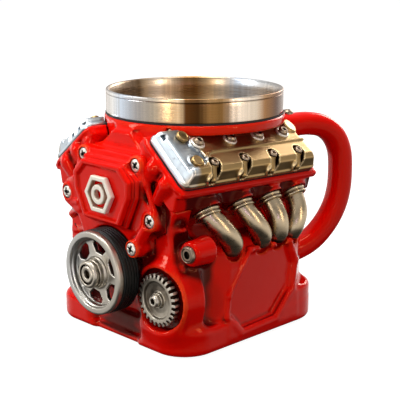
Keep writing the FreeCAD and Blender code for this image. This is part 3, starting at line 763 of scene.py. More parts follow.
def densified(profile: Array, gap: float) -> Array:
    """Profile with extra points so that no step is longer than the gap.

    Args:
        profile: rows of coordinates.
        gap: longest step.

    Returns:
        The denser profile, its own points among the new ones.
    """
    steps = np.maximum(1, np.ceil(np.linalg.norm(np.diff(profile, axis=0), axis=1) / gap).astype(int))
    parts = [first + (second - first) * np.arange(number)[:, None] / number
             for first, second, number in zip(profile[:-1], profile[1:], steps)]
    return np.concatenate(parts + [profile[-1:]])


def turned(profile: Array, columns: int, center: Triple, axis: Axis, closed: bool,
           marks: Optional[dict[str, Array]] = None) -> Surface:
    """Surface of revolution: each profile point (radius, height) swept round an axis through a centre.

    Args:
        profile: (radius, height) rows; on axis Y a height is the depth in front of the mug's middle.
        columns: steps round the circle.
        center: a point on the axis.
        axis: Y for wheels and front bolts, Z for the cup.
        closed: join the last profile point to the first.
        marks: a value per profile point for each attribute.

    Returns:
        The surface, facing out when the profile is drawn with the metal on its left.
    """
    angle = np.linspace(0.0, 2.0 * np.pi, columns, endpoint=False)[None, :]
    radius, height = profile[:, :1], profile[:, 1:2]
    across, other = radius * np.cos(angle), radius * np.sin(angle)
    level = np.broadcast_to(height, across.shape)
    if axis is Axis.Z:
        points = np.stack([across, other, level], axis=-1)
    else:
        points = np.stack([across, -level, other], axis=-1)
    spread = {name: values[:, None] for name, values in (marks or {}).items()}
    return grid_surface(points + np.asarray(center), closed, True, spread)


def smooth_line(corners: Sequence[Triple], count: int) -> Array:
    """Smooth curve through points by Catmull-Rom pieces: the slope at a point is half the chord across it.

    Args:
        corners: points the curve runs through.
        count: points on the curve, evenly shared over the pieces.

    Returns:
        Rows of x, y, z.
    """
    knots = np.asarray(corners, float)
    padded = np.concatenate([2 * knots[:1] - knots[1:2], knots, 2 * knots[-1:] - knots[-2:-1]])
    place = np.linspace(0.0, len(knots) - 1.0, count)
    cell = np.minimum(place.astype(int), len(knots) - 2)
    share = (place - cell)[:, None]
    zero, one, two, three = (padded[cell + shift] for shift in range(4))
    return 0.5 * (2 * one + (two - zero) * share + (2 * zero - 5 * one + 4 * two - three) * share ** 2
                  + (3 * one - zero - 3 * two + three) * share ** 3)


def swept(line: Array, side: Triple, wide: Array, deep: Array, columns: int, power: float = 2.0,
          marks: Optional[dict[str, Array]] = None) -> Surface:
    """Closed bar along a line, its section a superellipse, its ends closed to a point.

    Args:
        line: centre points.
        side: direction that the section's width points along at every point.
        wide: half width at each point.
        deep: half depth at each point.
        columns: points round the section.
        power: 2 for an ellipse, more for a squarer section.
        marks: a value per line point for each attribute.

    Returns:
        The bar with faces outwards.
    """
    forward = np.gradient(line, axis=0)
    forward /= np.linalg.norm(forward, axis=1, keepdims=True)
    across = np.asarray(side, float) - forward * (forward @ np.asarray(side, float))[:, None]
    across /= np.linalg.norm(across, axis=1, keepdims=True)
    up = np.cross(forward, across)
    angle = np.linspace(0.0, 2.0 * np.pi, columns, endpoint=False)
    cosine, sine = np.cos(angle), np.sin(angle)
    first = np.sign(cosine) * np.abs(cosine) ** (2.0 / power)
    second = np.sign(sine) * np.abs(sine) ** (2.0 / power)
    rings = (line[:, None] + (wide[:, None] * first)[..., None] * across[:, None]
             + (deep[:, None] * second)[..., None] * up[:, None])
    ends = [np.broadcast_to(line[index], (1, columns, 3)) for index in (0, -1)]
    points = np.concatenate([ends[0], rings, ends[1]])
    spread = {name: np.concatenate([values[:1], values, values[-1:]])[:, None]
              for name, values in (marks or {}).items()}
    return grid_surface(points, False, True, spread)


# ---------------------------------------------------------------- finishes

class Graph:
    """A material's node tree, with short calls for the nodes the finishes share."""

    def __init__(self, name: str) -> None:
        """Make an empty material with a surface shader and an output.

        Args:
            name: the material's name.
        """
        self.material = bpy.data.materials.new(name)
        self.material.use_nodes = True
        self.tree = self.material.node_tree
        self.tree.nodes.clear()
        self.shader = self.tree.nodes.new("ShaderNodeBsdfPrincipled")
        output = self.tree.nodes.new("ShaderNodeOutputMaterial")
        self.link(self.shader.outputs["BSDF"], output.inputs["Surface"])
        self.place = self.tree.nodes.new("ShaderNodeTexCoord").outputs["Object"]

    def link(self, source: bpy.types.NodeSocket, target: bpy.types.NodeSocket) -> None:
        """Join one socket to another."""
        self.tree.links.new(source, target)

    def fill(self, socket: bpy.types.NodeSocket, value: object) -> None:
        """Link a socket, or set its own value.

        Args:
            socket: the input to feed.
            value: another node's socket, a number or a colour.
        """
        if isinstance(value, bpy.types.NodeSocket):
            self.link(value, socket)
        elif socket.type == "RGBA":
            socket.default_value = (*value, 1.0)
        else:
            socket.default_value = value

    def mark(self, name: str) -> bpy.types.NodeSocket:
        """A mark stored on the mesh's points.

        Args:
            name: the mark's name.

        Returns:
            Its value.
        """
        node = self.tree.nodes.new("ShaderNodeAttribute")
        node.attribute_name = name
        return node.outputs["Fac"]

    def noise(self, scale: float, detail: float = 3.0, stretch: Triple = (1.0, 1.0, 1.0),
              rough: float = 0.55) -> bpy.types.NodeSocket:
        """Noise on object coordinates.

        Args:
            scale: how fine it is, per metre.
            detail: octaves.
            stretch: factor on each axis.
            rough: weight of the finer octaves.

        Returns:
            A value round 0.5.
        """
        mapping = self.tree.nodes.new("ShaderNodeMapping")
        mapping.inputs["Scale"].default_value = stretch
        self.link(self.place, mapping.inputs["Vector"])
        node = self.tree.nodes.new("ShaderNodeTexNoise")
        node.inputs["Scale"].default_value = scale
        node.inputs["Detail"].default_value = detail
        node.inputs["Roughness"].default_value = rough
        self.link(mapping.outputs["Vector"], node.inputs["Vector"])
        return node.outputs["Fac"]

    def ramp(self, factor: bpy.types.NodeSocket, stops: Sequence[tuple[float, Triple]],
             smooth: bool = False) -> bpy.types.NodeSocket:
        """Colour ramp.

        Args:
            factor: where on the ramp.
            stops: the place and colour of each stop, in order.
            smooth: ease between the stops.

        Returns:
            The colour.
        """
        node = self.tree.nodes.new("ShaderNodeValToRGB")
        node.color_ramp.interpolation = "EASE" if smooth else "LINEAR"
        elements = node.color_ramp.elements
        elements[0].position, elements[1].position = stops[0][0], stops[-1][0]
        elements[0].color, elements[1].color = (*stops[0][1], 1.0), (*stops[-1][1], 1.0)
        for place, color in stops[1:-1]:
            elements.new(place).color = (*color, 1.0)
        self.link(factor, node.inputs["Fac"])
        return node.outputs["Color"]

    def span(self, factor: bpy.types.NodeSocket, low: float, high: float, first: float,
             last: float) -> bpy.types.NodeSocket:
        """Linear change of range, held inside the new one.

        Args:
            factor: the value to change.
            low: value that gives the first result.
            high: value that gives the last.
            first: result at the low value.
            last: result at the high value.

        Returns:
            The changed value.
        """
        node = self.tree.nodes.new("ShaderNodeMapRange")
        for name, value in zip(("From Min", "From Max", "To Min", "To Max"), (low, high, first, last)):
            node.inputs[name].default_value = value
        self.link(factor, node.inputs["Value"])
        return node.outputs["Result"]

    def sum(self, kind: str, first: object, second: object = 0.0) -> bpy.types.NodeSocket:
        """A Math node.

        Args:
            kind: its operation.
            first: a socket or number.
            second: a socket or number.

        Returns:
            The result.
        """
        node = self.tree.nodes.new("ShaderNodeMath")
        node.operation = kind
        self.fill(node.inputs[0], first)
        self.fill(node.inputs[1], second)
        return node.outputs["Value"]

    def mix(self, factor: object, first: object, second: object, kind: str = "MIX") -> bpy.types.NodeSocket:
        """Colour mix.

        Args:
            factor: share of the second colour, a socket or number.
            first: a socket or colour.
            second: a socket or colour.
            kind: the blend.

        Returns:
            The mixed colour.
        """
        node = self.tree.nodes.new("ShaderNodeMix")
        node.data_type = "RGBA"
        node.blend_type = kind
        self.fill(node.inputs["Factor"], factor)
        self.fill(node.inputs[6], first)
        self.fill(node.inputs[7], second)
        return node.outputs[2]

    def bump(self, height: bpy.types.NodeSocket, depth: float, strength: float = 1.0) -> None:
        """Feed the shader's normal from a height.

        Args:
            height: a value from 0 to 1.
            depth: metres that a height of 1 stands for.
            strength: share of the effect.
        """
        node = self.tree.nodes.new("ShaderNodeBump")
        node.inputs["Strength"].default_value = strength
        node.inputs["Distance"].default_value = depth
        self.link(height, node.inputs["Height"])
        self.link(node.outputs["Normal"], self.shader.inputs["Normal"])

    def angle(self) -> bpy.types.NodeSocket:
        """Direction round the cup's axis as a share of a turn, 0.5 at +X.

        Returns:
            The share.
        """
        parts = self.tree.nodes.new("ShaderNodeSeparateXYZ")
        self.link(self.place, parts.inputs["Vector"])
        turn = self.sum("ARCTAN2", parts.outputs["Y"], parts.outputs["X"])
        return self.span(turn, -math.pi, math.pi, 0.0, 1.0)


@dataclass(frozen=True)
class Enamel:
    """Deep glossy enamel with painted shade in hollows and a painted orange highlight on crests."""

    name: str = "red_enamel"
    # colour of the painted shade in hollows
    deep: Triple = (0.085, 0.0004, 0.0006)
    body: Triple = (0.74, 0.0030, 0.0008)
    # colour of the painted highlight on crests
    painted_orange_highlight: Triple = (1.0, 0.13, 0.025)
    sheen: Triple = (1.0, 0.30, 0.10)
    roughness: float = 0.12

    def material(self) -> bpy.types.Material:
        """Build the node tree.

        Returns:
            The finished material.
        """
        graph = Graph(self.name)
        drift = graph.noise(38.0, 3.0)
        # painted shade: the hollow mark, with a little random drift, darkens the red towards the deep colour
        depth = graph.sum("ADD", graph.mark("hollow"), graph.span(drift, 0.35, 0.65, -0.08, 0.08))
        color = graph.ramp(depth, ((0.0, self.body), (0.22, self.body), (0.58, self.deep)), True)
        # painted highlight: crests are mixed towards an orange highlight colour, less so in hollows
        lit = graph.sum("MULTIPLY", graph.span(graph.mark("crest"), 0.24, 0.80, 0.0, 0.62),
                        graph.span(graph.noise(90.0, 2.0), 0.3, 0.7, 0.6, 1.0))
        lit = graph.sum("MULTIPLY", lit, graph.span(graph.mark("hollow"), 0.08, 0.40, 1.0, 0.0))
        graph.link(graph.mix(lit, color, self.painted_orange_highlight), graph.shader.inputs["Base Color"])
        graph.link(graph.span(graph.noise(160.0, 4.0), 0.3, 0.7, self.roughness - 0.05, self.roughness + 0.07),
                   graph.shader.inputs["Roughness"])
        graph.shader.inputs["Specular IOR Level"].default_value = 0.20
        graph.shader.inputs["Specular Tint"].default_value = (*self.sheen, 1.0)
        graph.shader.inputs["Coat Weight"].default_value = 0.06
        graph.shader.inputs["Coat Roughness"].default_value = 0.05
        ripple = graph.sum("ADD", graph.noise(220.0, 2.0), graph.sum("MULTIPLY", graph.noise(900.0, 2.0), 0.12))
        graph.bump(ripple, 0.00022, 0.55)
        return graph.material


@dataclass(frozen=True)
class Plating:
    """Satin metal plating: painted shade in hollows, painted highlights on crests, a painted cool reflection where
    marked, fine brushing and specks.
    """

    name: str
    # colour of the painted highlight on crests
    painted_highlight: Triple
    body: Triple
    shade: Triple
    roughness: float = 0.34
    # colours of the painted cool reflection, as lit and in painted shade
    tip: Triple = (0.60, 0.67, 0.72)
    tip_shade: Triple = (0.20, 0.24, 0.28)
    brush: Triple = (1.0, 0.15, 1.0)
    metal: float = 1.0

    def material(self) -> bpy.types.Material:
        """Build the node tree; the mark "tip" turns the colour to a painted cool reflection in steel-blue colours.

        Returns:
            The finished material.
        """
        graph = Graph(self.name)
        blot = graph.noise(70.0, 5.0)
        # painted shade: the hollow mark, with random blots, darkens the colour towards the shade colour
        shade_and_blots = graph.sum("ADD", graph.mark("hollow"), graph.span(blot, 0.35, 0.7, -0.10, 0.16))
        warm = graph.ramp(shade_and_blots, ((0.05, self.body), (0.30, self.body), (0.62, self.shade)), True)
        cool_reflection = graph.ramp(shade_and_blots, ((0.05, self.tip), (0.30, self.tip), (0.66, self.tip_shade)), True)
        # painted reflection: the tip mark blends in the cool steel-blue colours
        color = graph.mix(graph.mark("tip"), warm, cool_reflection)
        # painted highlight: crests are mixed towards a light highlight colour, a pale steel one where the tip mark is
        crest_highlight = graph.sum("MULTIPLY", graph.span(graph.mark("crest"), 0.25, 0.8, 0.0, 0.9),
                           graph.span(graph.noise(240.0, 3.0), 0.3, 0.65, 0.45, 1.0))
        edge = graph.mix(graph.mark("tip"), self.painted_highlight, (0.86, 0.90, 0.92))
        graph.link(graph.mix(crest_highlight, color, edge), graph.shader.inputs["Base Color"])
        graph.shader.inputs["Metallic"].default_value = self.metal
        grain = graph.noise(520.0, 4.0, self.brush)
        graph.link(graph.span(grain, 0.25, 0.75, self.roughness - 0.08, self.roughness + 0.12),
                   graph.shader.inputs["Roughness"])
        graph.bump(graph.sum("ADD", grain, graph.sum("MULTIPLY", graph.noise(1500.0, 2.0), 0.5)), 0.00006, 0.5)
        return graph.material


@dataclass(frozen=True)
class BrushedSteel:
    """Polished steel brushed round the cup, with a warm room's reflection painted into its colour by direction."""

    name: str
    reflection_tones: tuple[tuple[float, Triple], ...]
    roughness: float = 0.24

    def material(self) -> bpy.types.Material:
        """Build the node tree: painted reflection colours by direction, fine upright streaks and level brush lines.

        Returns:
            The finished material.
        """
        graph = Graph(self.name)
        turn = graph.angle()
        mapping = graph.tree.nodes.new("ShaderNodeCombineXYZ")
        graph.link(turn, mapping.inputs["X"])
        streak = graph.tree.nodes.new("ShaderNodeTexNoise")
        streak.inputs["Scale"].default_value = 130.0
        streak.inputs["Detail"].default_value = 4.0
        graph.link(mapping.outputs["Vector"], streak.inputs["Vector"])
        wander = graph.sum("ADD", turn, graph.span(streak.outputs["Fac"], 0.3, 0.7, -0.004, 0.004))
        # painted reflection: colour by direction round the cup
        tone = graph.ramp(wander, self.reflection_tones)
        fine = graph.span(streak.outputs["Fac"], 0.3, 0.7, 0.80, 1.12)
        shade = graph.tree.nodes.new("ShaderNodeCombineXYZ")
        for name in ("X", "Y", "Z"):
            graph.link(fine, shade.inputs[name])
        graph.link(graph.mix(1.0, tone, shade.outputs["Vector"], "MULTIPLY"), graph.shader.inputs["Base Color"])
        graph.shader.inputs["Metallic"].default_value = 1.0
        lines = graph.noise(60.0, 5.0, (1.0, 1.0, 60.0))
        graph.link(graph.span(lines, 0.3, 0.7, self.roughness - 0.07, self.roughness + 0.09),
                   graph.shader.inputs["Roughness"])
        graph.bump(lines, 0.00003, 0.35)
        return graph.material


@dataclass(frozen=True)
class Rubber:
    """Matt dark rubber or fibre with a fine tooth, dusty specks and a painted highlight on crests."""

    name: str
    color: Triple = (0.004, 0.005, 0.004)
    dust_and_highlight_tone: Triple = (0.018, 0.019, 0.019)
    roughness: float = 0.42
    grain: float = 900.0

    def material(self) -> bpy.types.Material:
        """Build the node tree.

        Returns:
            The finished material.
        """
        graph = Graph(self.name)
        speck = graph.noise(self.grain, 4.0)
        # dusty specks from noise, plus a painted highlight on crests
        specks_and_highlight = graph.sum("ADD", graph.span(speck, 0.4, 0.8, 0.0, 0.5),
                         graph.span(graph.mark("crest"), 0.3, 1.0, 0.0, 0.5))
        graph.link(graph.mix(specks_and_highlight, self.color, self.dust_and_highlight_tone), graph.shader.inputs["Base Color"])
        graph.link(graph.span(graph.noise(150.0, 3.0), 0.3, 0.7, self.roughness - 0.08, self.roughness + 0.12),
                   graph.shader.inputs["Roughness"])
        graph.shader.inputs["Specular IOR Level"].default_value = 0.25
        graph.bump(speck, 0.00004, 0.5)
        return graph.material


@dataclass(frozen=True)
class Ivory:
    """Ivory enamel with painted shade in its corners and a little random browner tone."""

    name: str = "ivory"
    color: Triple = (0.93, 0.87, 0.74)
    age: Triple = (0.42, 0.30, 0.17)

    def material(self) -> bpy.types.Material:
        """Build the node tree.

        Returns:
            The finished material.
        """
        graph = Graph(self.name)
        # painted shade in corners, plus random tone, mixed towards a brown
        tone = graph.sum("ADD", graph.mark("hollow"), graph.span(graph.noise(120.0, 4.0), 0.4, 0.8, 0.0, 0.25))
        graph.link(graph.mix(tone, self.color, self.age), graph.shader.inputs["Base Color"])
        graph.link(graph.span(graph.noise(300.0, 3.0), 0.3, 0.7, 0.24, 0.42), graph.shader.inputs["Roughness"])
        graph.shader.inputs["Coat Weight"].default_value = 0.3
        graph.bump(graph.noise(700.0, 3.0), 0.00005, 0.5)
        return graph.material


# painted reflection colour of the steel by direction, as shares of a turn; a ramp holds 32 stops at most
PAINTED_REFLECTION_TONES = ((0.0, (0.10, 0.05, 0.02)), (0.08, (0.30, 0.22, 0.15)), (0.15, (0.42, 0.35, 0.30)),
               (0.20, (0.80, 0.78, 0.74)), (0.235, (0.58, 0.65, 0.74)), (0.272, (0.36, 0.34, 0.33)),
               (0.31, (0.40, 0.33, 0.24)), (0.335, (0.50, 0.32, 0.16)), (0.352, (0.66, 0.46, 0.26)),
               (0.362, (0.10, 0.035, 0.008)), (0.385, (0.05, 0.02, 0.005)), (0.402, (0.26, 0.13, 0.04)),
               (0.428, (0.20, 0.10, 0.03)), (0.452, (0.78, 0.66, 0.54)), (0.49, (0.70, 0.58, 0.44)),
               (0.512, (0.34, 0.17, 0.07)), (0.55, (0.10, 0.04, 0.015)), (0.60, (0.28, 0.20, 0.15)),
               (0.70, (0.72, 0.72, 0.70)), (0.75, (0.68, 0.70, 0.72)), (0.79, (0.44, 0.50, 0.58)),
               (0.815, (0.52, 0.40, 0.28)), (0.845, (0.42, 0.26, 0.12)), (0.875, (0.12, 0.05, 0.012)),
               (0.90, (0.16, 0.07, 0.02)), (0.93, (0.62, 0.46, 0.30)), (0.955, (0.70, 0.58, 0.46)),
               (0.985, (0.40, 0.26, 0.14)), (1.0, (0.10, 0.05, 0.02)))


@dataclass(frozen=True)
class Finishes:
    """Every material of the mug, made once."""

    enamel: bpy.types.Material
    bronze: bpy.types.Material
    pipe: bpy.types.Material
    pewter: bpy.types.Material
    nickel: bpy.types.Material
    dark: bpy.types.Material
    steel: bpy.types.Material
    inside: bpy.types.Material
    tyre: bpy.types.Material
    seal: bpy.types.Material
    gasket: bpy.types.Material
    ivory: bpy.types.Material
    foot: bpy.types.Material

    @classmethod
    def made(cls) -> "Finishes":
        """Build them all.

        Returns:
            The finishes; the liner's steel has the band's painted reflection colours with the dark ones lifted.
        """
        lifted = tuple((place, tuple(value ** 0.75 for value in tone)) for place, tone in PAINTED_REFLECTION_TONES)
        return cls(
            enamel=Enamel().material(),
            bronze=Plating("antique_bronze", (0.86, 0.66, 0.36), (0.36, 0.235, 0.098),
                           (0.05, 0.026, 0.010)).material(),
            pipe=Plating("stub_bronze", (0.80, 0.66, 0.44), (0.46, 0.365, 0.24), (0.055, 0.038, 0.025),
                         0.27).material(),
            pewter=Plating("pewter", (0.80, 0.74, 0.64), (0.42, 0.375, 0.305), (0.06, 0.042, 0.028),
                           0.36).material(),
            nickel=Plating("screw_nickel", (0.96, 0.92, 0.84), (0.84, 0.79, 0.70), (0.012, 0.010, 0.008), 0.30,
                           metal=0.6).material(),
            dark=Plating("dark_bolt", (0.62, 0.48, 0.34), (0.20, 0.15, 0.11), (0.02, 0.014, 0.010),
                         0.36).material(),
            steel=BrushedSteel("polished_steel", PAINTED_REFLECTION_TONES).material(),
            inside=BrushedSteel("liner_steel", lifted, 0.30).material(),
            tyre=Rubber("belt_rubber", roughness=0.34).material(),
            seal=Rubber("seal_rubber", (0.012, 0.008, 0.008), (0.05, 0.03, 0.03), 0.5).material(),
            gasket=Rubber("gasket", (0.016, 0.013, 0.013), (0.07, 0.05, 0.045), 0.6).material(),
            ivory=Ivory().material(),
            foot=Rubber("foot_pad", (0.05, 0.05, 0.05), (0.12, 0.12, 0.12), 0.8).material())


def dress_node(name: str, material: bpy.types.Material) -> None:
    """Give a CAD node that stays visible its finish.

    Args:
        name: the node's name.
        material: its finish.
    """
    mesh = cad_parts[name].data
    mesh.materials.clear()
    mesh.materials.append(material)
    LOG.info("%s: dressed", name)


# ---------------------------------------------------------------- castings

# (depth at the head, depth at the crankcase) of each exhaust stub
STUBS = ((-31.0, -19.0), (-9.5, 0.5), (10.0, 11.5), (27.5, 22.0))


def stub_line(start: float, end: float) -> tuple[Triple, ...]:
    """Centre-line points of one right-hand exhaust stub.

    Args:
        start: depth at the head.
        end: depth at the crankcase.

    Returns:
        Five points from the head down.
    """
    middle = start + 0.42 * (end - start)
    return ((35.5, start, 70.5), (39.6, start, 65.0), (45.0, middle, 57.0),
            (45.6, end - 0.12 * (end - start), 50.5), (43.6, end, 45.5))


@dataclass(frozen=True)
class HeadRail:
    """Head casting under one valve cover: rounded lip, port hoods and bore columns on its front."""

    lip: float = 1.8
    top: float = -0.8
    wide: float = 31.0
    long: float = 88.0
    wall: float = 3.6

    def columns(self) -> list[Step]:
        """Rounded columns that show on the front of the bank, in the bank's frame."""
        places = ((-18.6, 0.6, 4.6), (-8.4, 0.4, 4.4), (-27.0, 1.6, 3.2))
        return [Step(Mix.ADD, Bar((across, along, -6.0), (across, along + 0.6, -15.5), radius, radius * 0.72), 1.6)
                for across, along, radius in places]

    def port_ends(self, stub: Pair, near: float, far: float) -> tuple[Triple, Triple]:
        """Two places on the straight first run of a stub, in the bank's frame.

        Args:
            stub: depths of the stub at the head and at the crankcase.
            near: how far past the run's lower end the first place is.
            far: the same for the second place.

        Returns:
            Both places.
        """
        line = np.asarray(stub_line(*stub)[:2])
        aim = (line[1] - line[0]) / np.linalg.norm(line[1] - line[0])
        first, second = (Bank().to_bank((line[1] + aim * reach)[None])[0] for reach in (near, far))
        return tuple(first), tuple(second)

    def recipe(self) -> Recipe:
        """Right head in the bank's frame.

        Returns:
            The head's shapes.
        """
        low = self.top - 9.0
        profile = ((self.lip, self.top), (self.lip, self.top - 3.0), (0.0, self.top - 4.4), (3.0, low - 1.4),
                   (0.8, low - 3.2), (-4.0, low - 3.4), (-6.5, low), (-self.wide + 6.0, low),
                   (-self.wide - self.lip, low + 4.0), (-self.wide - self.lip, self.top))
        skirt = Prism(profile, Axis.Y, -0.6, self.long + self.lip, 1.1)
        rail = Plate((-self.wide - self.lip, -self.lip, self.top - 2.6), (self.lip, self.long + self.lip, self.top),
                     5.2, 1.2)
        steps = [Step(Mix.ADD, skirt), Step(Mix.ADD, rail, 0.8)] + self.columns()
        for stub in STUBS:
            steps.append(Step(Mix.ADD, Drum(*self.port_ends(stub, -7.0, -0.5), 7.6, 7.9, 0.8), 2.2))
        for stub in STUBS:
            steps.append(Step(Mix.CUT, Drum(*self.port_ends(stub, -0.8, 8.0), 6.8, 6.8, 0.2), 0.4))
        steps.append(Step(Mix.CUT, Unbanked(Drum((0.0, 0.0, 90.0), (0.0, 0.0, 130.0), 44.2, None, 0.2)), 0.4))
        wall = self.wall
        bowl = OvalCone((25.0 + wall, 33.0 + wall), (28.6 + wall, 38.0 + wall), 7.0, 100.6)
        steps.append(Step(Mix.CUT, Unbanked(bowl), 0.4))
        return Recipe(tuple(steps))

    def build(self, finishes: Finishes) -> None:
        """Cast the right head once and mirror it for the left.

        Args:
            finishes: the mug's materials.
        """
        made = Foundry(0.62).cast(self.recipe().distance, (-35.5, -6.0, -19.5), (6.0, 91.0, 0.4))
        across, along, level = made.points.T
        # painted shade on the skirt below the lip
        under = np.clip((-4.4 - level) / 2.5, 0.0, 1.0) * np.clip((along - 3.0) / 4.0, 0.0, 1.0)
        made.marks["hollow"] = np.clip(made.marks["hollow"] + 0.55 * under * (across > -14.0), 0.0, 1.0)
        make_pair("head_rail", made.moved(Bank().to_mug), "cylinder_head", finishes.enamel)
        for side in Side:
            dress_node(f"cover_gasket_{side.value}", finishes.gasket)


@dataclass(frozen=True)
class Casting:
    """The red casting: pan, crankcase, deck and neck, parted from the front cover at one plane."""

    parting: float = -49.2
    case: float = 47.5
    front: float = -47.0
    back: float = 41.0
    root: float = -44.0
    emblem_level: float = 71.4
    screws: tuple[Triple, ...] = ((-18.5, 86.6, 0.0), (18.5, 86.6, 0.0), (-32.2, 66.2, 0.0), (27.4, 62.6, 0.0),
                                  (19.3, 49.1, 4.2))

    def pan(self) -> list[Step]:
        """Low plinth with a stepped bay in the middle of its front.

        Returns:
            Steps of the casting's recipe.
        """
        plinth = Plate((-48.2, -53.6, 0.8), (48.2, 43.0, 13.5), 17.0, 2.6)
        heel = Plate((-48.0, -6.0, 0.8), (48.0, 43.0, 19.0), 17.0, 2.6)
        bay = Prism(((-22.0, -60.0), (22.5, -60.0), (16.0, -49.6), (-15.5, -49.6)), Axis.Z, 4.6, 24.0, 1.2)
        toe = Prism(((-20.0, -60.0), (20.5, -60.0), (15.0, -51.6), (-14.5, -51.6)), Axis.Z, -2.0, 6.0, 1.0)
        return [Step(Mix.ADD, plinth), Step(Mix.ADD, heel), Step(Mix.CUT, bay, 3.0), Step(Mix.CUT, toe, 2.0)]

    def crankcase(self) -> Recipe:
        """Case and banks in front view, corners cut back below the banks.

        Returns:
            The case as one shape.
        """
        wide = self.case
        right = ((wide, 4.0), (wide, 38.0), (wide - 2.0, 45.5), (wide - 5.5, 49.5), (35.5, 51.0), (31.5, 57.0),
                 (31.5, 64.0), (40.0, 71.5), (40.0, 78.0), (14.0, 99.0))
        outline = right + tuple((-across, up) for across, up in reversed(right))
        steps = [Step(Mix.ADD, Prism(outline, Axis.Y, self.front, self.back, 1.6))]
        front = ((35.0, -62.0), (62.0, -62.0), (62.0, -25.0), (wide, -25.0), (36.0, self.front))
        rear = ((wide, 23.0), (62.0, 23.0), (62.0, 62.0), (34.0, 62.0), (34.0, self.back))
        for corners in (front, rear):
            steps.append(Step(Mix.CUT, Twin(Prism(corners, Axis.Z, -12.0, 58.5, 1.0)), 2.4))
        return Recipe(tuple(steps))

    def side_fields(self) -> list[Step]:
        """Recessed field in each side, with a rounded rim bead round it.

        Returns:
            Steps of the casting's recipe.
        """
        field_outline = ((-9.0, 42.6), (16.0, 41.4), (20.0, 32.0), (18.2, 20.0), (7.0, 8.6), (-14.5, 7.6),
                         (-22.6, 16.5), (-21.6, 25.5))
        hole = Prism(field_outline, Axis.X, self.case - 2.2, self.case + 9.0, 1.3)
        ring = np.asarray(field_outline)
        middle = ring.mean(axis=0)
        spread = middle + (ring - middle) * 1.12
        steps = []
        for first, second in zip(spread, np.roll(spread, -1, axis=0)):
            level = self.case - 0.5
            steps.append(Step(Mix.ADD, Twin(Bar((level, *first), (level, *second), 1.25)), 1.5))
        return steps + [Step(Mix.CUT, Twin(hole), 1.3)]

    def upper(self) -> list[Step]:
        """Front wall, valley deck, oval wall and neck ring, filleted into one another.

        Returns:
            Steps of the casting's recipe.
        """
        wall = ((37.0, 40.0), (36.5, 52.0), (35.5, 60.0), (40.0, 71.0), (40.0, 76.0), (20.0, 84.0))
        wall = wall + tuple((-across, up) for across, up in reversed(wall))
        deck = ((self.parting - 0.6, 82.0), (-45.5, 90.6), (-41.0, 95.4), (self.back, 96.0), (self.back, 80.0))
        return [Step(Mix.ADD, Prism(wall, Axis.Y, self.parting, -38.0, 1.4), 2.0),
                Step(Mix.ADD, Prism(deck, Axis.X, -30.0, 30.0, 1.2), 1.0),
                Step(Mix.ADD, OvalCone((27.9, 35.9), (31.7, 41.1), 20.0, 99.4), 2.5)]

    def neck(self) -> list[Step]:
        """Round neck above the bank seats, with room left for both valve covers.

        Returns:
            Steps of the casting's recipe.
        """
        low = Recipe((Step(Mix.ADD, Banked(Plate((-33.5, -1.6, -0.6), (1.6, 90.4, 34.0), 4.0, 0.6))),
                      Step(Mix.CUT, Plate((-70.0, -70.0, 98.4), (70.0, 70.0, 150.0), 1.0, 0.2))))
        return [Step(Mix.ADD, Drum((0.0, 0.0, 92.0), (0.0, 0.0, 102.9), 43.8, None, 1.1), 4.0),
                Step(Mix.CUT, Twin(low), 0.8)]

    def timing_cover(self) -> list[Step]:
        """Plate, stepped shield, screw pads and ribs on the front.

        Returns:
            Steps of the casting's recipe.
        """
        plate = ((-21.5, 90.3), (21.5, 90.3), (22.6, 84.0), (23.6, 72.0), (30.6, 66.0), (31.2, 59.6), (25.0, 57.0),
                 (19.0, 44.0), (12.0, 44.0), (10.0, 40.0), (-10.0, 40.0), (-12.0, 44.0), (-19.0, 44.0),
                 (-25.0, 56.0), (-35.6, 61.0), (-36.4, 70.0), (-24.0, 74.0), (-23.0, 84.0))
        shield = ((-13.5, 86.0), (13.5, 86.0), (20.2, 79.5), (19.6, 72.0), (13.0, 58.5), (-13.0, 58.5),
                  (-19.6, 72.0), (-20.2, 79.5))
        level = self.emblem_level
        step = tuple((across * 1.13, level + (up - level) * 1.12) for across, up in shield)
        field_outline = tuple((across * 0.84, level + (up - level) * 0.84) for across, up in shield)
        steps = [Step(Mix.ADD, Prism(plate, Axis.Y, -54.2, self.root, 1.8), 4.2),
                 Step(Mix.ADD, Prism(step, Axis.Y, -57.0, self.root, 1.2), 1.6),
                 Step(Mix.ADD, Prism(shield, Axis.Y, -60.0, self.root, 1.3), 1.0),
                 Step(Mix.CUT, Prism(field_outline, Axis.Y, -66.0, -58.7, 0.9), 0.7),
                 Step(Mix.ADD, facing(PULLEY_PLACE, self.root, -52.6, 13.0, 11.0, 1.2), 2.0)]
        ribs = (((-40.0, -48.6, 69.4), (-27.0, -53.0, 74.0), 1.5), ((-36.4, -48.8, 53.6), (-22.4, -53.0, 60.0), 1.5),
                ((-37.6, -50.0, 60.4), (-24.0, -54.0, 62.6), 1.1), ((-34.0, -48.0, 46.0), (-17.5, -51.5, 50.5), 1.6),
                ((-33.0, -48.0, 41.5), (-16.0, -50.5, 44.5), 1.4), ((27.4, -53.8, 62.6), (19.3, -55.4, 49.1), 2.6),
                ((24.2, -52.6, 78.0), (29.6, -52.4, 66.5), 1.5), ((20.6, -53.6, 88.0), (24.4, -52.8, 79.0), 1.4),
                ((-20.6, -53.6, 88.0), (-24.6, -52.8, 77.5), 1.4))
        steps += [Step(Mix.ADD, Bar(start, end, radius), 2.0) for start, end, radius in ribs]
        for across, up, stand in self.screws:
            steps.append(Step(Mix.ADD, facing((across, up), self.root, -54.3 - stand, 5.0, 4.1, 0.8), 1.6))
        for across, up, stand in self.screws:
            steps.append(Step(Mix.CUT, facing((across, up), -53.3 - stand, -66.0, 3.15, None, 0.2), 0.5))
        steps.append(Step(Mix.CUT, facing(PULLEY_PLACE, -53.2, -75.0, 20.3, None, 0.2), 0.4))
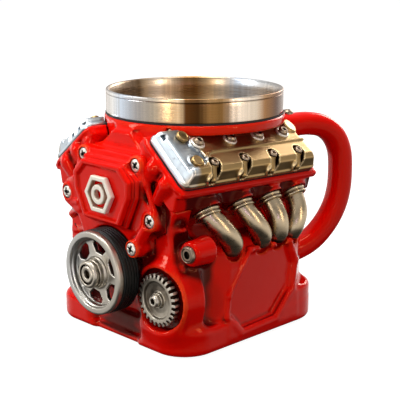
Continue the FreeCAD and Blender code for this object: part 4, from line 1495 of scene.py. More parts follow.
        steps.append(Step(Mix.CUT, facing(PULLEY_PLACE, -45.0, -75.0, 2.75, None, 0.1), 0.1))
        return steps

    def front_details(self) -> list[Step]:
        """Gear pocket, plug boss and the ribs between them.

        Returns:
            Steps of the casting's recipe.
        """
        return [Step(Mix.ADD, facing(GEAR_PLACE, -40.0, -51.9, 17.2, 15.6, 1.0), 9.0),
                Step(Mix.ADD, Drum((43.4, -34.0, 49.5), (44.2, -46.6, 49.5), 6.7, 5.7, 1.6), 3.4),
                Step(Mix.ADD, Bar((33.0, -46.0, 58.6), (39.0, -44.6, 59.2), 1.4), 4.4),
                Step(Mix.ADD, Bar((27.0, -47.6, 46.6), (40.5, -46.2, 42.6), 1.0), 1.6),
                Step(Mix.CUT, facing(GEAR_PLACE, -49.2, -64.0, 14.4, None, 0.3), 0.7),
                Step(Mix.CUT, facing(PLUG_PLACE, -46.4, -60.0, 4.25, None, 0.2), 0.5)]

    def rear_details(self) -> list[Step]:
        """Bell-housing ring, ribs and pads on the back, under the grip.

        Returns:
            Steps of the casting's recipe.
        """
        bell, pads, circle = (-8.0, 46.0), 6, 18.0
        steps = [Step(Mix.ADD, facing(bell, 36.0, 43.2, 22.0, 20.5, 1.2), 2.4),
                 Step(Mix.CUT, facing(bell, 41.0, 60.0, 15.0, None, 0.8), 1.4),
                 Step(Mix.ADD, facing(bell, 36.0, 42.6, 6.0, 5.2, 0.8), 1.4)]
        for turn in range(pads):
            angle = math.radians(60.0 * turn + 20.0)
            place = (bell[0] + circle * math.cos(angle), bell[1] + circle * math.sin(angle))
            steps.append(Step(Mix.ADD, facing(place, 36.0, 44.0, 2.4, 2.0, 0.6), 0.8))
        return steps

    def whole(self) -> Recipe:
        """Every red shape of the block and front cover, filleted together.

        Returns:
            The whole casting.
        """
        seat = Banked(Plate((-44.0, -24.0, -10.0), (24.0, 112.0, 60.0), 1.0, 0.4))
        steps = self.pan()
        steps.append(Step(Mix.ADD, self.crankcase(), 2.6))
        steps += self.side_fields() + self.upper()
        steps.append(Step(Mix.CUT, Twin(seat), 0.6))
        steps += self.neck() + self.rear_details() + self.front_details() + self.timing_cover()
        steps += [Step(Mix.CUT, Twin(Banked(shape)), 0.0) for shape in self.head_rooms()]
        for start, end in STUBS:
            line = [tuple(spot) for spot in smooth_line(stub_line(start, end), 9)[1:]]
            for first, second in zip(line, line[1:]):
                steps.append(Step(Mix.CUT, Twin(Bar(first, second, 5.35)), 0.3))
        steps.append(Step(Mix.CUT, Drum((0.0, 0.0, 99.8), (0.0, 0.0, 130.0), 41.8, None, 0.2), 0.2))
        steps.append(Step(Mix.CUT, OvalCone((26.1, 34.1), (29.7, 39.1), 6.2, 100.4, 0.2), 0.2))
        pad = Plate((-41.7, -46.9, -5.0), (41.7, 36.3, 2.3), 9.3, 0.2)
        return Recipe(tuple(steps + [Step(Mix.CUT, pad, 0.2)]))

    def head_rooms(self) -> tuple[object, ...]:
        """What the heads fill, kept clear in the casting."""
        return (Prism(((2.2, 3.0), (2.2, -4.0), (0.4, -5.2), (3.6, -11.0), (1.2, -13.2), (-4.0, -13.2), (-6.8, -9.8),
                       (-25.0, -9.8), (-33.0, -5.8), (-33.0, 3.0)), Axis.Y, -1.0, 91.0, 0.3),)

    def with_painted_shadows(self, made: Surface) -> Surface:
        """Paint shadow into the enamel: each shadow spot fades with the distance from its middle over its radii.

        Args:
            made: a casting, whose marks are changed.

        Returns:
            The same casting, its crests cleared along the parting plane.
        """
        # painted shadows: middle, radii and strength of each spot
        shadow_spots = (((28.5, -47.5, 68.0), (7.0, 5.0, 12.0), 0.75), ((-28.5, -47.5, 70.0), (7.0, 4.0, 9.0), 0.45),
                 ((39.0, 3.0, 57.0), (5.0, 36.0, 7.5), 1.1), ((-39.0, 3.0, 57.0), (5.0, 36.0, 7.5), 1.1),
                 ((31.5, -48.6, 27.0), (13.6, 1.6, 13.6), 0.7), ((0.0, -51.5, 33.0), (19.0, 3.4, 19.0), 1.1),
                 ((24.0, -48.5, 38.0), (6.0, 3.0, 9.0), 0.6), ((0.0, -50.5, 9.0), (18.0, 3.0, 7.0), 0.4),
                 ((44.0, -38.0, 38.0), (5.0, 6.0, 5.0), 0.35))
        extra = np.zeros(len(made.points))
        for middle, radii, amount in shadow_spots:
            away = np.sum(((made.points - middle) / radii) ** 2, axis=1)
            extra += amount * np.exp(-away ** 1.5)
        made.marks["hollow"] = np.clip(made.marks["hollow"] + extra, 0.0, 1.0)
        made.marks["crest"] = made.marks["crest"] * (np.abs(made.points[:, 1] - self.parting) > 0.4)
        return made

    def build(self, finishes: Finishes) -> None:
        """Cast the whole, parted into the block and the front cover.

        Args:
            finishes: the mug's materials.
        """
        whole = self.whole()
        outline = ((-42.0, 96.0), (33.0, 96.0), (33.0, 58.0), (25.2, 53.0), (25.2, 45.4), (15.0, 45.0),
                   (15.0, 20.0), (-15.0, 20.0), (-15.0, 44.0), (-20.0, 44.5), (-42.0, 51.5))
        ahead = Prism(outline, Axis.Y, -70.0, self.parting, 0.02)
        block = Recipe((Step(Mix.ADD, whole), Step(Mix.CUT, ahead)))
        cover = Recipe((Step(Mix.ADD, whole), Step(Mix.KEEP, ahead)))
        cast_block = Foundry(cell_size(0.94)).cast(block.distance, (-50.4, -56.4, -0.6), (50.4, 46.6, 105.0))
        make_piece("block_casting", self.with_painted_shadows(cast_block), Body.MUG, ["engine_block"], finishes.enamel)
        cast_cover = Foundry(cell_size(0.55)).cast(cover.distance, (-43.0, -62.0, 18.0), (35.0, -47.8, 97.0))
        make_piece("timing_cover", self.with_painted_shadows(cast_cover), Body.MUG, ["front_cover"], finishes.enamel)
        dress_node("base_pad", finishes.foot)


# ---------------------------------------------------------------- valve covers and their fasteners

@dataclass(frozen=True)
class ValveCover:
    """Pressed valve cover: flange, rolled outer edge, ridge bead, slanted slots and a stepped front with a painted
    steel-blue reflection.
    """

    wide: float = 31.0
    long: float = 88.0
    ridge: float = 8.5
    inner: float = 5.6
    stud_line: float = -7.2
    slots: tuple[float, ...] = (19.0, 38.5, 57.5, 75.5)
    bolts: tuple[Pair, ...] = ((-19.0, 17.5), (-19.0, 38.0), (-19.0, 56.5), (-19.0, 74.0))
    caps: tuple[Triple, ...] = ((-24.0, 12.0, 6.3), (-9.6, 11.0, 6.3))
    crisp: float = 50.0

    def roof(self, across: float) -> float:
        """Height of the upper skin at a distance across the cover."""
        share = (across + 4.2) / (-self.wide + 1.0 + 4.2)
        return self.ridge + share * (self.inner - self.ridge)

    def body(self) -> Recipe:
        """Raised part: a profile drawn out along the bank and sloped at both ends.

        Returns:
            The raised part as one shape.
        """
        wide = self.wide
        profile = ((-0.7, -2.0), (-0.9, 3.0), (-2.2, 7.2), (-4.4, self.ridge), (-wide + 1.0, self.inner),
                   (-wide + 1.0, -2.0))
        front = ((-10.0, -4.0), (0.0, -4.0), (1.0, 1.0), (6.2, 13.0), (-10.0, 13.0))
        rear = ((self.long + 10.0, -4.0), (self.long, -4.0), (self.long - 1.0, 1.0), (self.long - 6.2, 13.0),
                (self.long + 10.0, 13.0))
        return Recipe((Step(Mix.ADD, Prism(profile, Axis.Y, 0.4, self.long - 0.4, 1.7)),
                       Step(Mix.CUT, Prism(front, Axis.X, -60.0, 20.0, 0.3), 1.1),
                       Step(Mix.CUT, Prism(rear, Axis.X, -60.0, 20.0, 0.3), 1.1)))

    def slot_line(self, along: float) -> tuple[Triple, Triple]:
        """Bed of one slanted slot, from its bolt to the outer edge."""
        return ((self.stud_line, along, 7.4), (0.8, along - 3.6, 3.4))

    def recipe(self) -> Recipe:
        """Right cover in the bank's frame.

        Returns:
            The cover's shapes.
        """
        flange = Plate((-self.wide, 0.0, 0.0), (0.0, self.long, 2.2), 4.0, 0.75)
        step = Prism(((-6.2, -8.0), (-6.2, 13.2), (-9.4, 16.4), (-21.0, 16.4), (-24.5, 16.2), (-45.0, 16.2),
                      (-45.0, -8.0)), Axis.Z, 6.3, 30.0, 0.4)
        steps = [Step(Mix.ADD, flange), Step(Mix.ADD, self.body(), 1.0), Step(Mix.CUT, step, 0.9)]
        bead = ((-9.0, 15.6), (-12.6, 19.6), (-13.2, 23.0), (-13.4, 84.2))
        for first, second in zip(bead, bead[1:]):
            ends = [(across, along, self.roof(across) - 0.15) for across, along in (first, second)]
            steps.append(Step(Mix.ADD, Bar(ends[0], ends[1], 0.85), 0.35))
        for across, along in self.bolts:
            top = self.roof(across)
            steps.append(Step(Mix.ADD, Drum((across, along, 1.0), (across, along, top + 0.1), 4.4, 3.9, 0.4), 0.9))
        filler = Drum((-23.0, 82.0, 1.0), (-23.0, 83.4, self.roof(-23.0) + 1.0), 5.0, 4.2, 0.9)
        steps.append(Step(Mix.ADD, filler, 1.2))
        for along in self.slots:
            top, low = self.slot_line(along)
            rise = Bar((top[0] + 0.2, top[1], self.roof(self.stud_line) - 2.6), (low[0] - 2.4, low[1], 4.2), 3.9, 3.4)
            steps.append(Step(Mix.ADD, rise, 0.9))
        for along in self.slots:
            top, low = self.slot_line(along)
            lifted = Bar((top[0], top[1], top[2] + 0.7), (low[0], low[1], low[2] + 1.1), 2.95, 2.7)
            steps.append(Step(Mix.CUT, lifted, 0.45))
            steps.append(Step(Mix.CUT, Drum((top[0], along, 6.4), (top[0], along, 16.0), 2.95, None, 0.2), 0.4))
            tongue = Bar((top[0] + 0.3, along - 0.1, 6.3), (low[0] - 1.9, low[1] + 0.6, 3.7), 2.0, 1.85)
            steps.append(Step(Mix.ADD, tongue, 0.3))
        across, along, level = self.caps[1]
        steps.append(Step(Mix.ADD, Drum((across, along, 4.0), (across, along, level + 0.35), 4.5, 4.2, 0.3), 0.7))
        steps.append(Step(Mix.CUT, Drum((across, along, level), (across, along, 16.0), 3.25, None, 0.1), 0.2))
        sink = Prism(((-28.2, -6.0), (-24.4, -6.0), (-24.8, 5.4), (-27.4, 5.4)), Axis.Z, 4.3, 5.6, 0.3)
        steps.append(Step(Mix.CUT, sink, 0.5))
        steps.append(Step(Mix.CUT, Unbanked(Drum((0.0, 0.0, 98.3), (0.0, 0.0, 130.0), 44.2, None, 0.2)), 0.4))
        steps.append(Step(Mix.CUT, Unbanked(OvalCone((28.9, 36.9), (32.7, 42.1), 20.0, 99.4)), 0.3))
        return Recipe(tuple(steps))

    def light_painted(self, made: Surface) -> Surface:
        """Paint a cool steel-blue reflection on the front end: full on the end face, fading behind the step; and
        paint shade on the step's floor.

        Args:
            made: the cover, whose marks are changed.

        Returns:
            The same cover.
        """
        across, along, level = made.points.T
        rise = np.clip((8.5 - along) / 2.4, 0.0, 1.0)
        outer = np.clip((-across - 1.6) / 3.0, 0.0, 1.0)
        floor = np.clip((17.2 - along) / 1.6, 0.0, 1.0) * np.clip((-7.2 - across) / 1.2, 0.0, 1.0)
        # painted reflection on the end face and the step's floor
        made.marks["tip"] = np.maximum(rise * (0.25 + 0.75 * outer), 0.85 * floor)
        # painted shade on the step's floor, below its rim
        shade = floor * np.clip((along - 4.2) / 1.0, 0.0, 1.0) * (level < 6.9)
        made.marks["hollow"] = np.clip(made.marks["hollow"] + 0.42 * shade, 0.0, 1.0)
        return made

    def pocketed(self, made: Surface) -> Surface:
        """Three square pockets in the front end: points inside a rounded square are pushed back along the bank.

        Args:
            made: the cover in the bank's frame.

        Returns:
            A cover with the pockets sunk and painted with shade.
        """
        points = made.points.copy()
        hollow = made.marks["hollow"].copy()
        for middle, half in ((-27.0, 2.0), (-21.4, 2.3), (-15.0, 2.5)):
            away = np.maximum(np.abs(points[:, 0] - middle) - half, np.abs(points[:, 2] - 4.1) - 2.1)
            sink = np.clip(0.5 - away / 0.7, 0.0, 1.0) * (points[:, 1] < 5.6)
            points[:, 1] += 2.0 * sink
            # painted shade in the pockets
            hollow = np.maximum(hollow, 0.62 * sink)
        return Surface(points, made.faces, {**made.marks, "hollow": hollow})

    def build(self, finishes: Finishes) -> None:
        """Cast the right cover, mirror it, then make its fasteners.

        Args:
            finishes: the mug's materials.
        """
        cast = Foundry(cell_size(0.42)).cast(self.recipe().distance, (-32.2, -1.2, -0.6), (1.4, 89.4, 11.6))
        made = self.light_painted(cast)
        make_piece("valve_cover_right", made.moved(Bank().to_mug), Body.MUG, ["valve_cover_right"], finishes.bronze,
                   self.crisp)
        make_piece("valve_cover_left", self.pocketed(made).moved(Bank().to_mug).mirrored(), Body.MUG,
                   ["valve_cover_left"], finishes.bronze, self.crisp)
        washers, heads, studs, caps = [], [], [], []
        lean = math.atan((self.ridge - self.inner) / (self.wide - 5.2))
        for across, along in self.bolts:
            seat = (across, along, self.roof(across) + 0.1)
            washers.append(self.tipped(self.washer(), seat, -lean))
            heads.append(self.tipped(self.socket_head(2.45, 1.9, 1.1), (seat[0], seat[1], seat[2] + 1.15), -lean))
        for along in self.slots:
            studs.append(self.tipped(self.socket_head(2.0, 1.6, 0.9), (self.stud_line + 0.2, along, 7.4), -0.12))
        for across, along, level in self.caps:
            caps.append(self.tipped(self.cap(), (across, along, level), 0.0))
        for name, group, node, material, slot in (
                ("cover_washer", washers, "cover_washers", finishes.nickel, "screw_nickel"),
                ("cover_bolt", heads, "cover_bolts", finishes.dark, "dark_bolt"),
                ("slot_bolt", studs, "slot_bolts", finishes.dark, "screw_nickel"),
                ("cover_cap", caps, "cover_caps", finishes.bronze, "antique_bronze")):
            make_pair(name, joined(group).moved(Bank().to_mug), node, material, self.crisp)

    def tipped(self, made: Surface, seat: Triple, lean: float) -> Surface:
        """A turned piece leaned about local y and set on its seat.

        Args:
            made: the piece, standing on local z.
            seat: where its foot goes.
            lean: angle in radians.

        Returns:
            The placed piece.
        """
        cosine, sine = math.cos(lean), math.sin(lean)
        turn = np.array([[cosine, 0.0, -sine], [0.0, 1.0, 0.0], [sine, 0.0, cosine]])
        return made.moved(lambda spots: spots @ turn + np.asarray(seat))

    def washer(self) -> Surface:
        """Thick washer with a rolled rim."""
        profile = filleted(((1.3, 0.0, 0.0), (3.5, 0.0, 0.3), (3.5, 1.0, 0.5), (2.7, 1.25, 0.3), (2.5, 0.95, 0.2),
                            (1.3, 0.95, 0.0)))
        return turned(profile, 40, (0.0, 0.0, 0.0), Axis.Z, True, {"crest": profile[:, 0] * 0.0 + 0.25})

    def socket_head(self, radius: float, height: float, socket: float) -> Surface:
        """Domed bolt head with a round socket, closed underneath.

        Args:
            radius: radius of the head.
            height: height of its dome.
            socket: radius of the socket.

        Returns:
            The head, standing on local z.
        """
        floor = height * 0.35
        profile = filleted(((0.0, 0.0, 0.0), (radius, 0.0, 0.2), (radius, height * 0.6, 0.7),
                            (socket + 0.5, height, 0.4), (socket, height - 0.15, 0.2), (socket, floor, 0.1),
                            (0.0, floor, 0.0)))
        # painted shade in the socket, painted highlight on the rest of the head
        sunk = np.clip((socket + 0.05 - profile[:, 0]) / 0.1, 0.0, 1.0)
        return turned(profile, 36, (0.0, 0.0, 0.0), Axis.Z, False, {"hollow": 0.8 * sunk, "crest": 0.5 * (1 - sunk)})

    def cap(self) -> Surface:
        """Low round cap with a soft rim and a faint centre."""
        profile = filleted(((0.0, 0.0, 0.0), (3.0, 0.0, 0.1), (3.0, 1.5, 0.5), (2.2, 1.75, 0.3), (1.9, 1.55, 0.2),
                            (0.0, 1.65, 0.0)))
        # painted shade darker towards the centre, painted highlight towards the rim
        return turned(profile, 40, (0.0, 0.0, 0.0), Axis.Z, False,
                      {"crest": profile[:, 0] / 12.0, "hollow": 0.40 - profile[:, 0] / 20.0})


# ---------------------------------------------------------------- exhaust

@dataclass(frozen=True)
class Exhaust:
    """Four bent stubs a side with ringed clamp collars."""

    radius: float = 4.9
    collar: float = 6.5

    def build(self, finishes: Finishes) -> None:
        """Make each stub and collar on the right and mirror them.

        Args:
            finishes: the mug's materials.
        """
        collars = []
        for number, (start, end) in enumerate(STUBS, start=1):
            corners = np.asarray(stub_line(start, end))
            stub = self.stub(smooth_line(stub_line(start, end), 72))
            make_pair(f"exhaust_stub_{number}", stub, f"exhaust_pipe_{number}", finishes.pipe)
            aim = (corners[1] - corners[0]) / np.linalg.norm(corners[1] - corners[0])
            collars.append(self.clamp(corners[1] - 0.6 * aim, aim))
        make_pair("stub_collars", joined(collars), "exhaust_collars", finishes.pipe)

    def stub(self, line: Array) -> Surface:
        """Round bar whose radius draws in a little at the foot, with painted shade near both ends.

        Args:
            line: its centre line from the head down.

        Returns:
            The stub.
        """
        share = np.linspace(0.0, 1.0, len(line))
        radius = self.radius * (1.0 - 0.10 * np.clip((share - 0.72) / 0.28, 0.0, 1.0) ** 2)
        # painted shade near both ends, where the stub meets the head and the block
        end_shade = 0.42 * np.clip((0.34 - share) / 0.16, 0.0, 1.0) + 0.5 * np.clip((share - 0.82) / 0.12, 0.0, 1.0)
        return swept(line, (0.0, 1.0, 0.0), radius, radius, 48, 2.0, {"hollow": end_shade, "crest": 0.12 + 0 * share})

    def clamp(self, foot: Array, aim: Array) -> Surface:
        """Collar of two rolled rings with a groove between, turned about the stub's own line.

        Args:
            foot: middle of its upper end.
            aim: direction down the stub.

        Returns:
            The collar in the mug's frame.
        """
        top = self.collar
        profile = filleted(((4.95, 0.0, 0.0), (top - 0.3, 0.0, 0.4), (top, 0.9, 0.6), (top - 0.9, 1.75, 0.4),
                            (top - 0.1, 2.2, 0.5), (top - 0.1, 3.1, 0.6), (5.3, 3.6, 0.3), (4.95, 3.4, 0.0)))
        # painted shade in the groove, painted highlight on the rings
        sunk = np.exp(-((profile[:, 1] - 1.75) / 0.3) ** 2)
        ring = turned(profile, 56, (0.0, 0.0, 0.0), Axis.Z, True, {"hollow": 0.7 * sunk, "crest": 0.3 * (1.0 - sunk)})
        side = np.cross(aim, (0.0, 1.0, 0.0))
        side /= np.linalg.norm(side)
        turn = np.stack([side, np.cross(aim, side), aim])
        return ring.moved(lambda spots: spots @ turn + foot)


# ---------------------------------------------------------------- cup

@dataclass(frozen=True)
class Cup:
    """Steel liner with a rolled lip over an oval bowl, and the polished band outside it."""

    rim: float = 43.0
    band_low: float = 103.6
    columns: int = 180
    crisp: float = 60.0

    def liner(self) -> Surface:
        """Closed shell on a grid of height and direction; the half-axes run from round lip to oval foot.

        Returns:
            The liner.
        """
        path = filleted(((0.0, 0.0, 7.3, 0.0), (21.0, 28.5, 7.0, 0.0), (25.0, 33.0, 7.2, 4.0),
                         (28.2, 37.6, 88.0, 0.0), (28.6, 38.0, 100.6, 3.2), (40.7, 40.7, 100.7, 4.6),
                         (40.7, 40.7, 111.2, 1.6), (41.3, 41.3, 114.0, 0.9), (42.0, 42.0, 114.9, 0.9),
                         (43.0, 43.0, 114.7, 0.8), (43.0, 43.0, 113.05, 0.3), (41.5, 41.5, 113.0, 0.2),
                         (41.5, 41.5, 99.9, 0.2), (29.4, 38.8, 99.8, 0.4), (28.9, 38.4, 88.0, 0.0),
                         (25.7, 33.7, 6.3, 2.0), (0.0, 0.0, 6.3, 0.0)), 7)
        path = densified(path, 2.5)
        angle = np.linspace(0.0, 2.0 * np.pi, self.columns, endpoint=False)[None, :]
        points = np.stack([path[:, :1] * np.cos(angle), path[:, 1:2] * np.sin(angle),
                           np.broadcast_to(path[:, 2:], (len(path), self.columns))], axis=-1)
        return grid_surface(points, False, True).reversed()

    def band(self) -> Surface:
        """Band with softly rolled edges.

        Returns:
            The band.
        """
        rim, low = self.rim, self.band_low
        profile = filleted(((rim - 1.1, low, 0.0), (rim - 0.05, low, 0.35), (rim, low + 1.0, 0.0),
                            (rim, 112.2, 0.0), (rim - 0.1, 113.0, 0.35), (rim - 1.1, 113.0, 0.0)))
        return turned(densified(profile, 1.5), self.columns, (0.0, 0.0, 0.0), Axis.Z, True)

    def build(self, finishes: Finishes) -> None:
        """Make the liner and the band; the seal stays.

        Args:
            finishes: the mug's materials.
        """
        make_piece("steel_liner", self.liner(), Body.MUG, ["cup_liner"], finishes.inside, self.crisp)
        make_piece("steel_band", self.band(), Body.MUG, ["rim_band"], finishes.steel, self.crisp)
        dress_node("neck_seal", finishes.seal)


# ---------------------------------------------------------------- pulley, gear and front fittings

@dataclass(frozen=True)
class CrankPulley:
    """Dished pulley with six rounded windows, a grooved tyre, a stepped nose and a fixed axle cap."""

    level: float = PULLEY_PLACE[1]
    rim: float = 19.6
    back: float = 53.6
    front: float = 66.0
    tyre_front: float = 62.55
    turn: float = 8.0

    def wheel(self) -> Recipe:
        """Wheel about local z, height zero at the web's back: rim ring, dished web, hub and windows.

        Returns:
            The wheel's shapes.
        """
        depth = self.front - self.back
        steps = [Step(Mix.ADD, Drum((0, 0, 0), (0, 0, depth), 17.2, None, 0.3)),
                 Step(Mix.ADD, Drum((0, 0, depth - 3.4), (0, 0, depth), self.rim, None, 0.9)),
                 Step(Mix.CUT, Drum((0, 0, depth - 1.4), (0, 0, depth + 6), 16.3, 17.4, 0.4), 0.6),
                 Step(Mix.CUT, Drum((0, 0, depth - 3.6), (0, 0, depth + 6), 15.4, 16.4, 0.5), 0.5),
                 Step(Mix.CUT, Drum((0, 0, -5), (0, 0, 6.6), 15.6, None, 0.3), 0.3),
                 Step(Mix.ADD, Drum((0, 0, 4.9), (0, 0, depth - 3.4), 8.2, 7.8, 0.6), 0.7)]
        window = ((-2.3, 9.2), (2.3, 9.2), (4.9, 12.2), (4.2, 14.3), (0.0, 15.1), (-4.2, 14.3), (-4.9, 12.2))
        for number in range(6):
            angle = math.radians(60.0 * number)
            turned_window = tuple((across * math.cos(angle) - up * math.sin(angle),
                                   across * math.sin(angle) + up * math.cos(angle)) for across, up in window)
            steps.append(Step(Mix.CUT, Prism(turned_window, Axis.Z, -5.0, 20.0, 1.3), 0.4))
        steps.append(Step(Mix.CUT, Drum((0, 0, -5), (0, 0, 20), 2.65, None, 0.1), 0.1))
        return Recipe(tuple(steps))

    def seated(self, spots: Array) -> Array:
        """Wheel spots turned so that local z points forwards, and set on the axle.

        Args:
            spots: rows in the wheel's own frame.

        Returns:
            The rows in the mug's frame.
        """
        angle = math.radians(self.turn)
        across = spots[:, 0] * math.cos(angle) + spots[:, 1] * math.sin(angle)
        up = -spots[:, 0] * math.sin(angle) + spots[:, 1] * math.cos(angle)
        return np.stack([across, -self.back - spots[:, 2], up + self.level], axis=1)

    def tyre(self) -> Surface:
        """Black belt tyre: five ribs with V grooves between, a rolled front shoulder.

        Returns:
            The tyre.
        """
        pitch, inner = 1.62, 17.25
        height = np.linspace(self.back, self.tyre_front, 150)
        wave = np.abs(((height - self.back) / pitch) % 1.0 - 0.5) * 2.0
        groove = np.clip((wave - 0.62) / 0.38, 0.0, 1.0) ** 0.8
        shoulder = np.clip((height - 62.0) / 0.55, 0.0, 1.0) ** 2 + np.clip((54.2 - height) / 0.6, 0.0, 1.0) ** 2
        radius = 19.85 - 0.75 * groove - 0.4 * shoulder
        outer = np.stack([radius, height], axis=1)
        profile = np.concatenate([[[inner, self.back]], outer, [[inner, self.tyre_front]]])
        # the ribs carry a painted highlight through the crest mark
        hollow = np.concatenate([[0.5], groove, [0.5]])
        return turned(profile, 128, (0.0, 0.0, self.level), Axis.Y, True,
                      {"hollow": hollow, "crest": 0.7 * (1.0 - hollow)})

    def nose(self) -> Surface:
        """Stepped hub nose, hollow in front, about the axle.

        Returns:
            The nose.
        """
        profile = filleted(((2.7, 61.0, 0.0), (7.6, 61.0, 0.2), (7.6, 63.2, 0.5), (6.7, 63.9, 0.5), (6.6, 65.6, 0.3),
                            (6.1, 65.9, 0.2), (6.1, 66.3, 0.2), (6.6, 66.6, 0.3), (6.5, 68.2, 0.5), (5.7, 69.0, 0.5),
                            (4.75, 69.0, 0.3), (4.6, 67.4, 0.0), (2.7, 67.4, 0.0)))
        # painted shade in the groove and the bore, painted highlight elsewhere
        sunk = np.exp(-((profile[:, 1] - 66.1) / 0.35) ** 2) * (profile[:, 0] > 5.5) + (profile[:, 0] < 4.8) * 0.9
        return turned(profile, 72, (0.0, 0.0, self.level), Axis.Y, True,
                      {"hollow": np.clip(sunk, 0.0, 1.0), "crest": 0.35 * (1.0 - np.clip(sunk, 0.0, 1.0))})

    def axle(self) -> Surface:
        """Fixed axle with its drilled cap.

        Returns:
            The axle.
        """
        profile = filleted(((0.0, 44.5, 0.0), (2.6, 44.5, 0.0), (2.6, 67.5, 0.0), (4.2, 67.5, 0.1), (4.2, 68.5, 0.4),
                            (3.4, 68.95, 0.3), (2.1, 68.7, 0.2), (1.9, 66.9, 0.0), (0.0, 66.9, 0.0)))
        # painted shade in the drilled cap, painted highlight elsewhere
        sunk = 0.95 * (profile[:, 0] < 2.0) * (profile[:, 1] > 60.0)
        return turned(profile, 56, (0.0, 0.0, self.level), Axis.Y, False, {"hollow": sunk, "crest": 0.4 * (1 - sunk)})

    def build(self, finishes: Finishes) -> None:
        """Make the turning parts and the fixed axle.

        Args:
            finishes: the mug's materials.
        """
        made = Foundry(cell_size(0.4)).cast(self.wheel().distance, (-20.6, -20.6, -1.0), (20.6, 20.6, 13.4))
        made = Surface(self.seated(made.points), made.faces, made.marks)
        # painted cool reflection, stronger towards -x
        made.marks["tip"] = 0.10 + 0.35 * np.clip(-made.points[:, 0] / 20.0, 0.0, 1.0)
        make_piece("pulley_wheel", made, Body.PULLEY, ["crank_pulley"], finishes.pewter)
        make_piece("belt_tyre", self.tyre(), Body.PULLEY, ["pulley_tyre"], finishes.tyre, 40.0)
        make_piece("hub_nose", self.nose(), Body.PULLEY, ["pulley_nose"], finishes.pewter, 40.0)
        make_piece("axle_cap", self.axle(), Body.MUG, ["pulley_axle"], finishes.pewter, 40.0)


@dataclass(frozen=True)
class TimingGear:
    """Spur gear with rounded teeth, a dished face and a hub, on its shoulder bolt."""

    center: Triple = (GEAR_PLACE[0], 0.0, GEAR_PLACE[1])
    teeth: int = 26
    tip: float = 12.2
    root: float = 10.35

    def wheel(self) -> Surface:
        """Grid of profile and direction; outside the root the radius follows a rounded tooth wave.

        Returns:
            The gear.
        """
        profile = filleted(((1.85, 51.2, 0.0), (self.root - 0.6, 51.2, 0.0), (self.root, 51.3, 0.0),
                            (self.tip, 51.5, 0.0), (self.tip, 54.2, 0.0), (self.root + 0.2, 54.6, 0.0),
                            (self.root - 0.6, 54.6, 0.2), (8.75, 54.6, 0.4), (8.45, 53.1, 0.4), (6.2, 52.8, 0.3),
                            (3.7, 53.0, 0.3), (3.6, 54.5, 0.3), (1.85, 54.5, 0.0)))
        profile = densified(profile, 0.45)
        angle = np.linspace(0.0, 2.0 * np.pi, self.teeth * 20, endpoint=False)[None, :]
        wave = np.cos(self.teeth * angle)
        tooth = np.clip(0.5 + 1.15 * wave, 0.0, 1.0)
        tooth = tooth * tooth * (3.0 - 2.0 * tooth)
        beyond = np.maximum(profile[:, :1] - self.root, 0.0)
        radius = profile[:, :1] - beyond * (1.0 - tooth)
        height = np.broadcast_to(profile[:, 1:2], radius.shape)
        points = np.stack([radius * np.cos(angle), -height, radius * np.sin(angle)], axis=-1) + self.center
        # painted shade between the teeth and in the dish, painted highlight on the teeth
        rim = profile[:, :1] > self.root - 0.3
        dish = (profile[:, :1] > 4.0) & (profile[:, :1] < 8.6) & (profile[:, 1:2] > 52.0)
        marks = {"hollow": np.where(rim, 0.75 * (1.0 - tooth), 0.45 * dish),
                 "crest": np.where(rim, 0.5 * tooth, 0.25)}
        return grid_surface(points, True, True, marks)

    def bolt(self) -> Surface:
        """Shoulder bolt with a stepped head and a socket.

        Returns:
            The bolt.
        """
        profile = filleted(((0.0, 42.0, 0.0), (1.2, 42.0, 0.0), (1.2, 49.2, 0.0), (1.8, 49.2, 0.0), (1.8, 54.65, 0.0),
                            (3.0, 54.65, 0.1), (3.0, 55.7, 0.3), (2.5, 56.2, 0.3), (2.3, 56.8, 0.3), (1.4, 56.8, 0.2),
                            (1.3, 55.2, 0.0), (0.0, 55.2, 0.0)))
        # painted shade in the socket, painted highlight elsewhere
        sunk = 0.95 * (profile[:, 0] < 1.35) * (profile[:, 1] > 55.0)
        return turned(profile, 44, self.center, Axis.Y, False, {"hollow": sunk, "crest": 0.4 * (1 - sunk)})

    def build(self, finishes: Finishes) -> None:
        """Make the gear and its bolt.

        Args:
            finishes: the mug's materials.
        """
        make_piece("gear_wheel", self.wheel(), Body.GEAR, ["timing_gear"], finishes.pewter, 45.0)
        make_piece("gear_shoulder_bolt", self.bolt(), Body.MUG, ["gear_bolt"], finishes.pewter, 40.0)


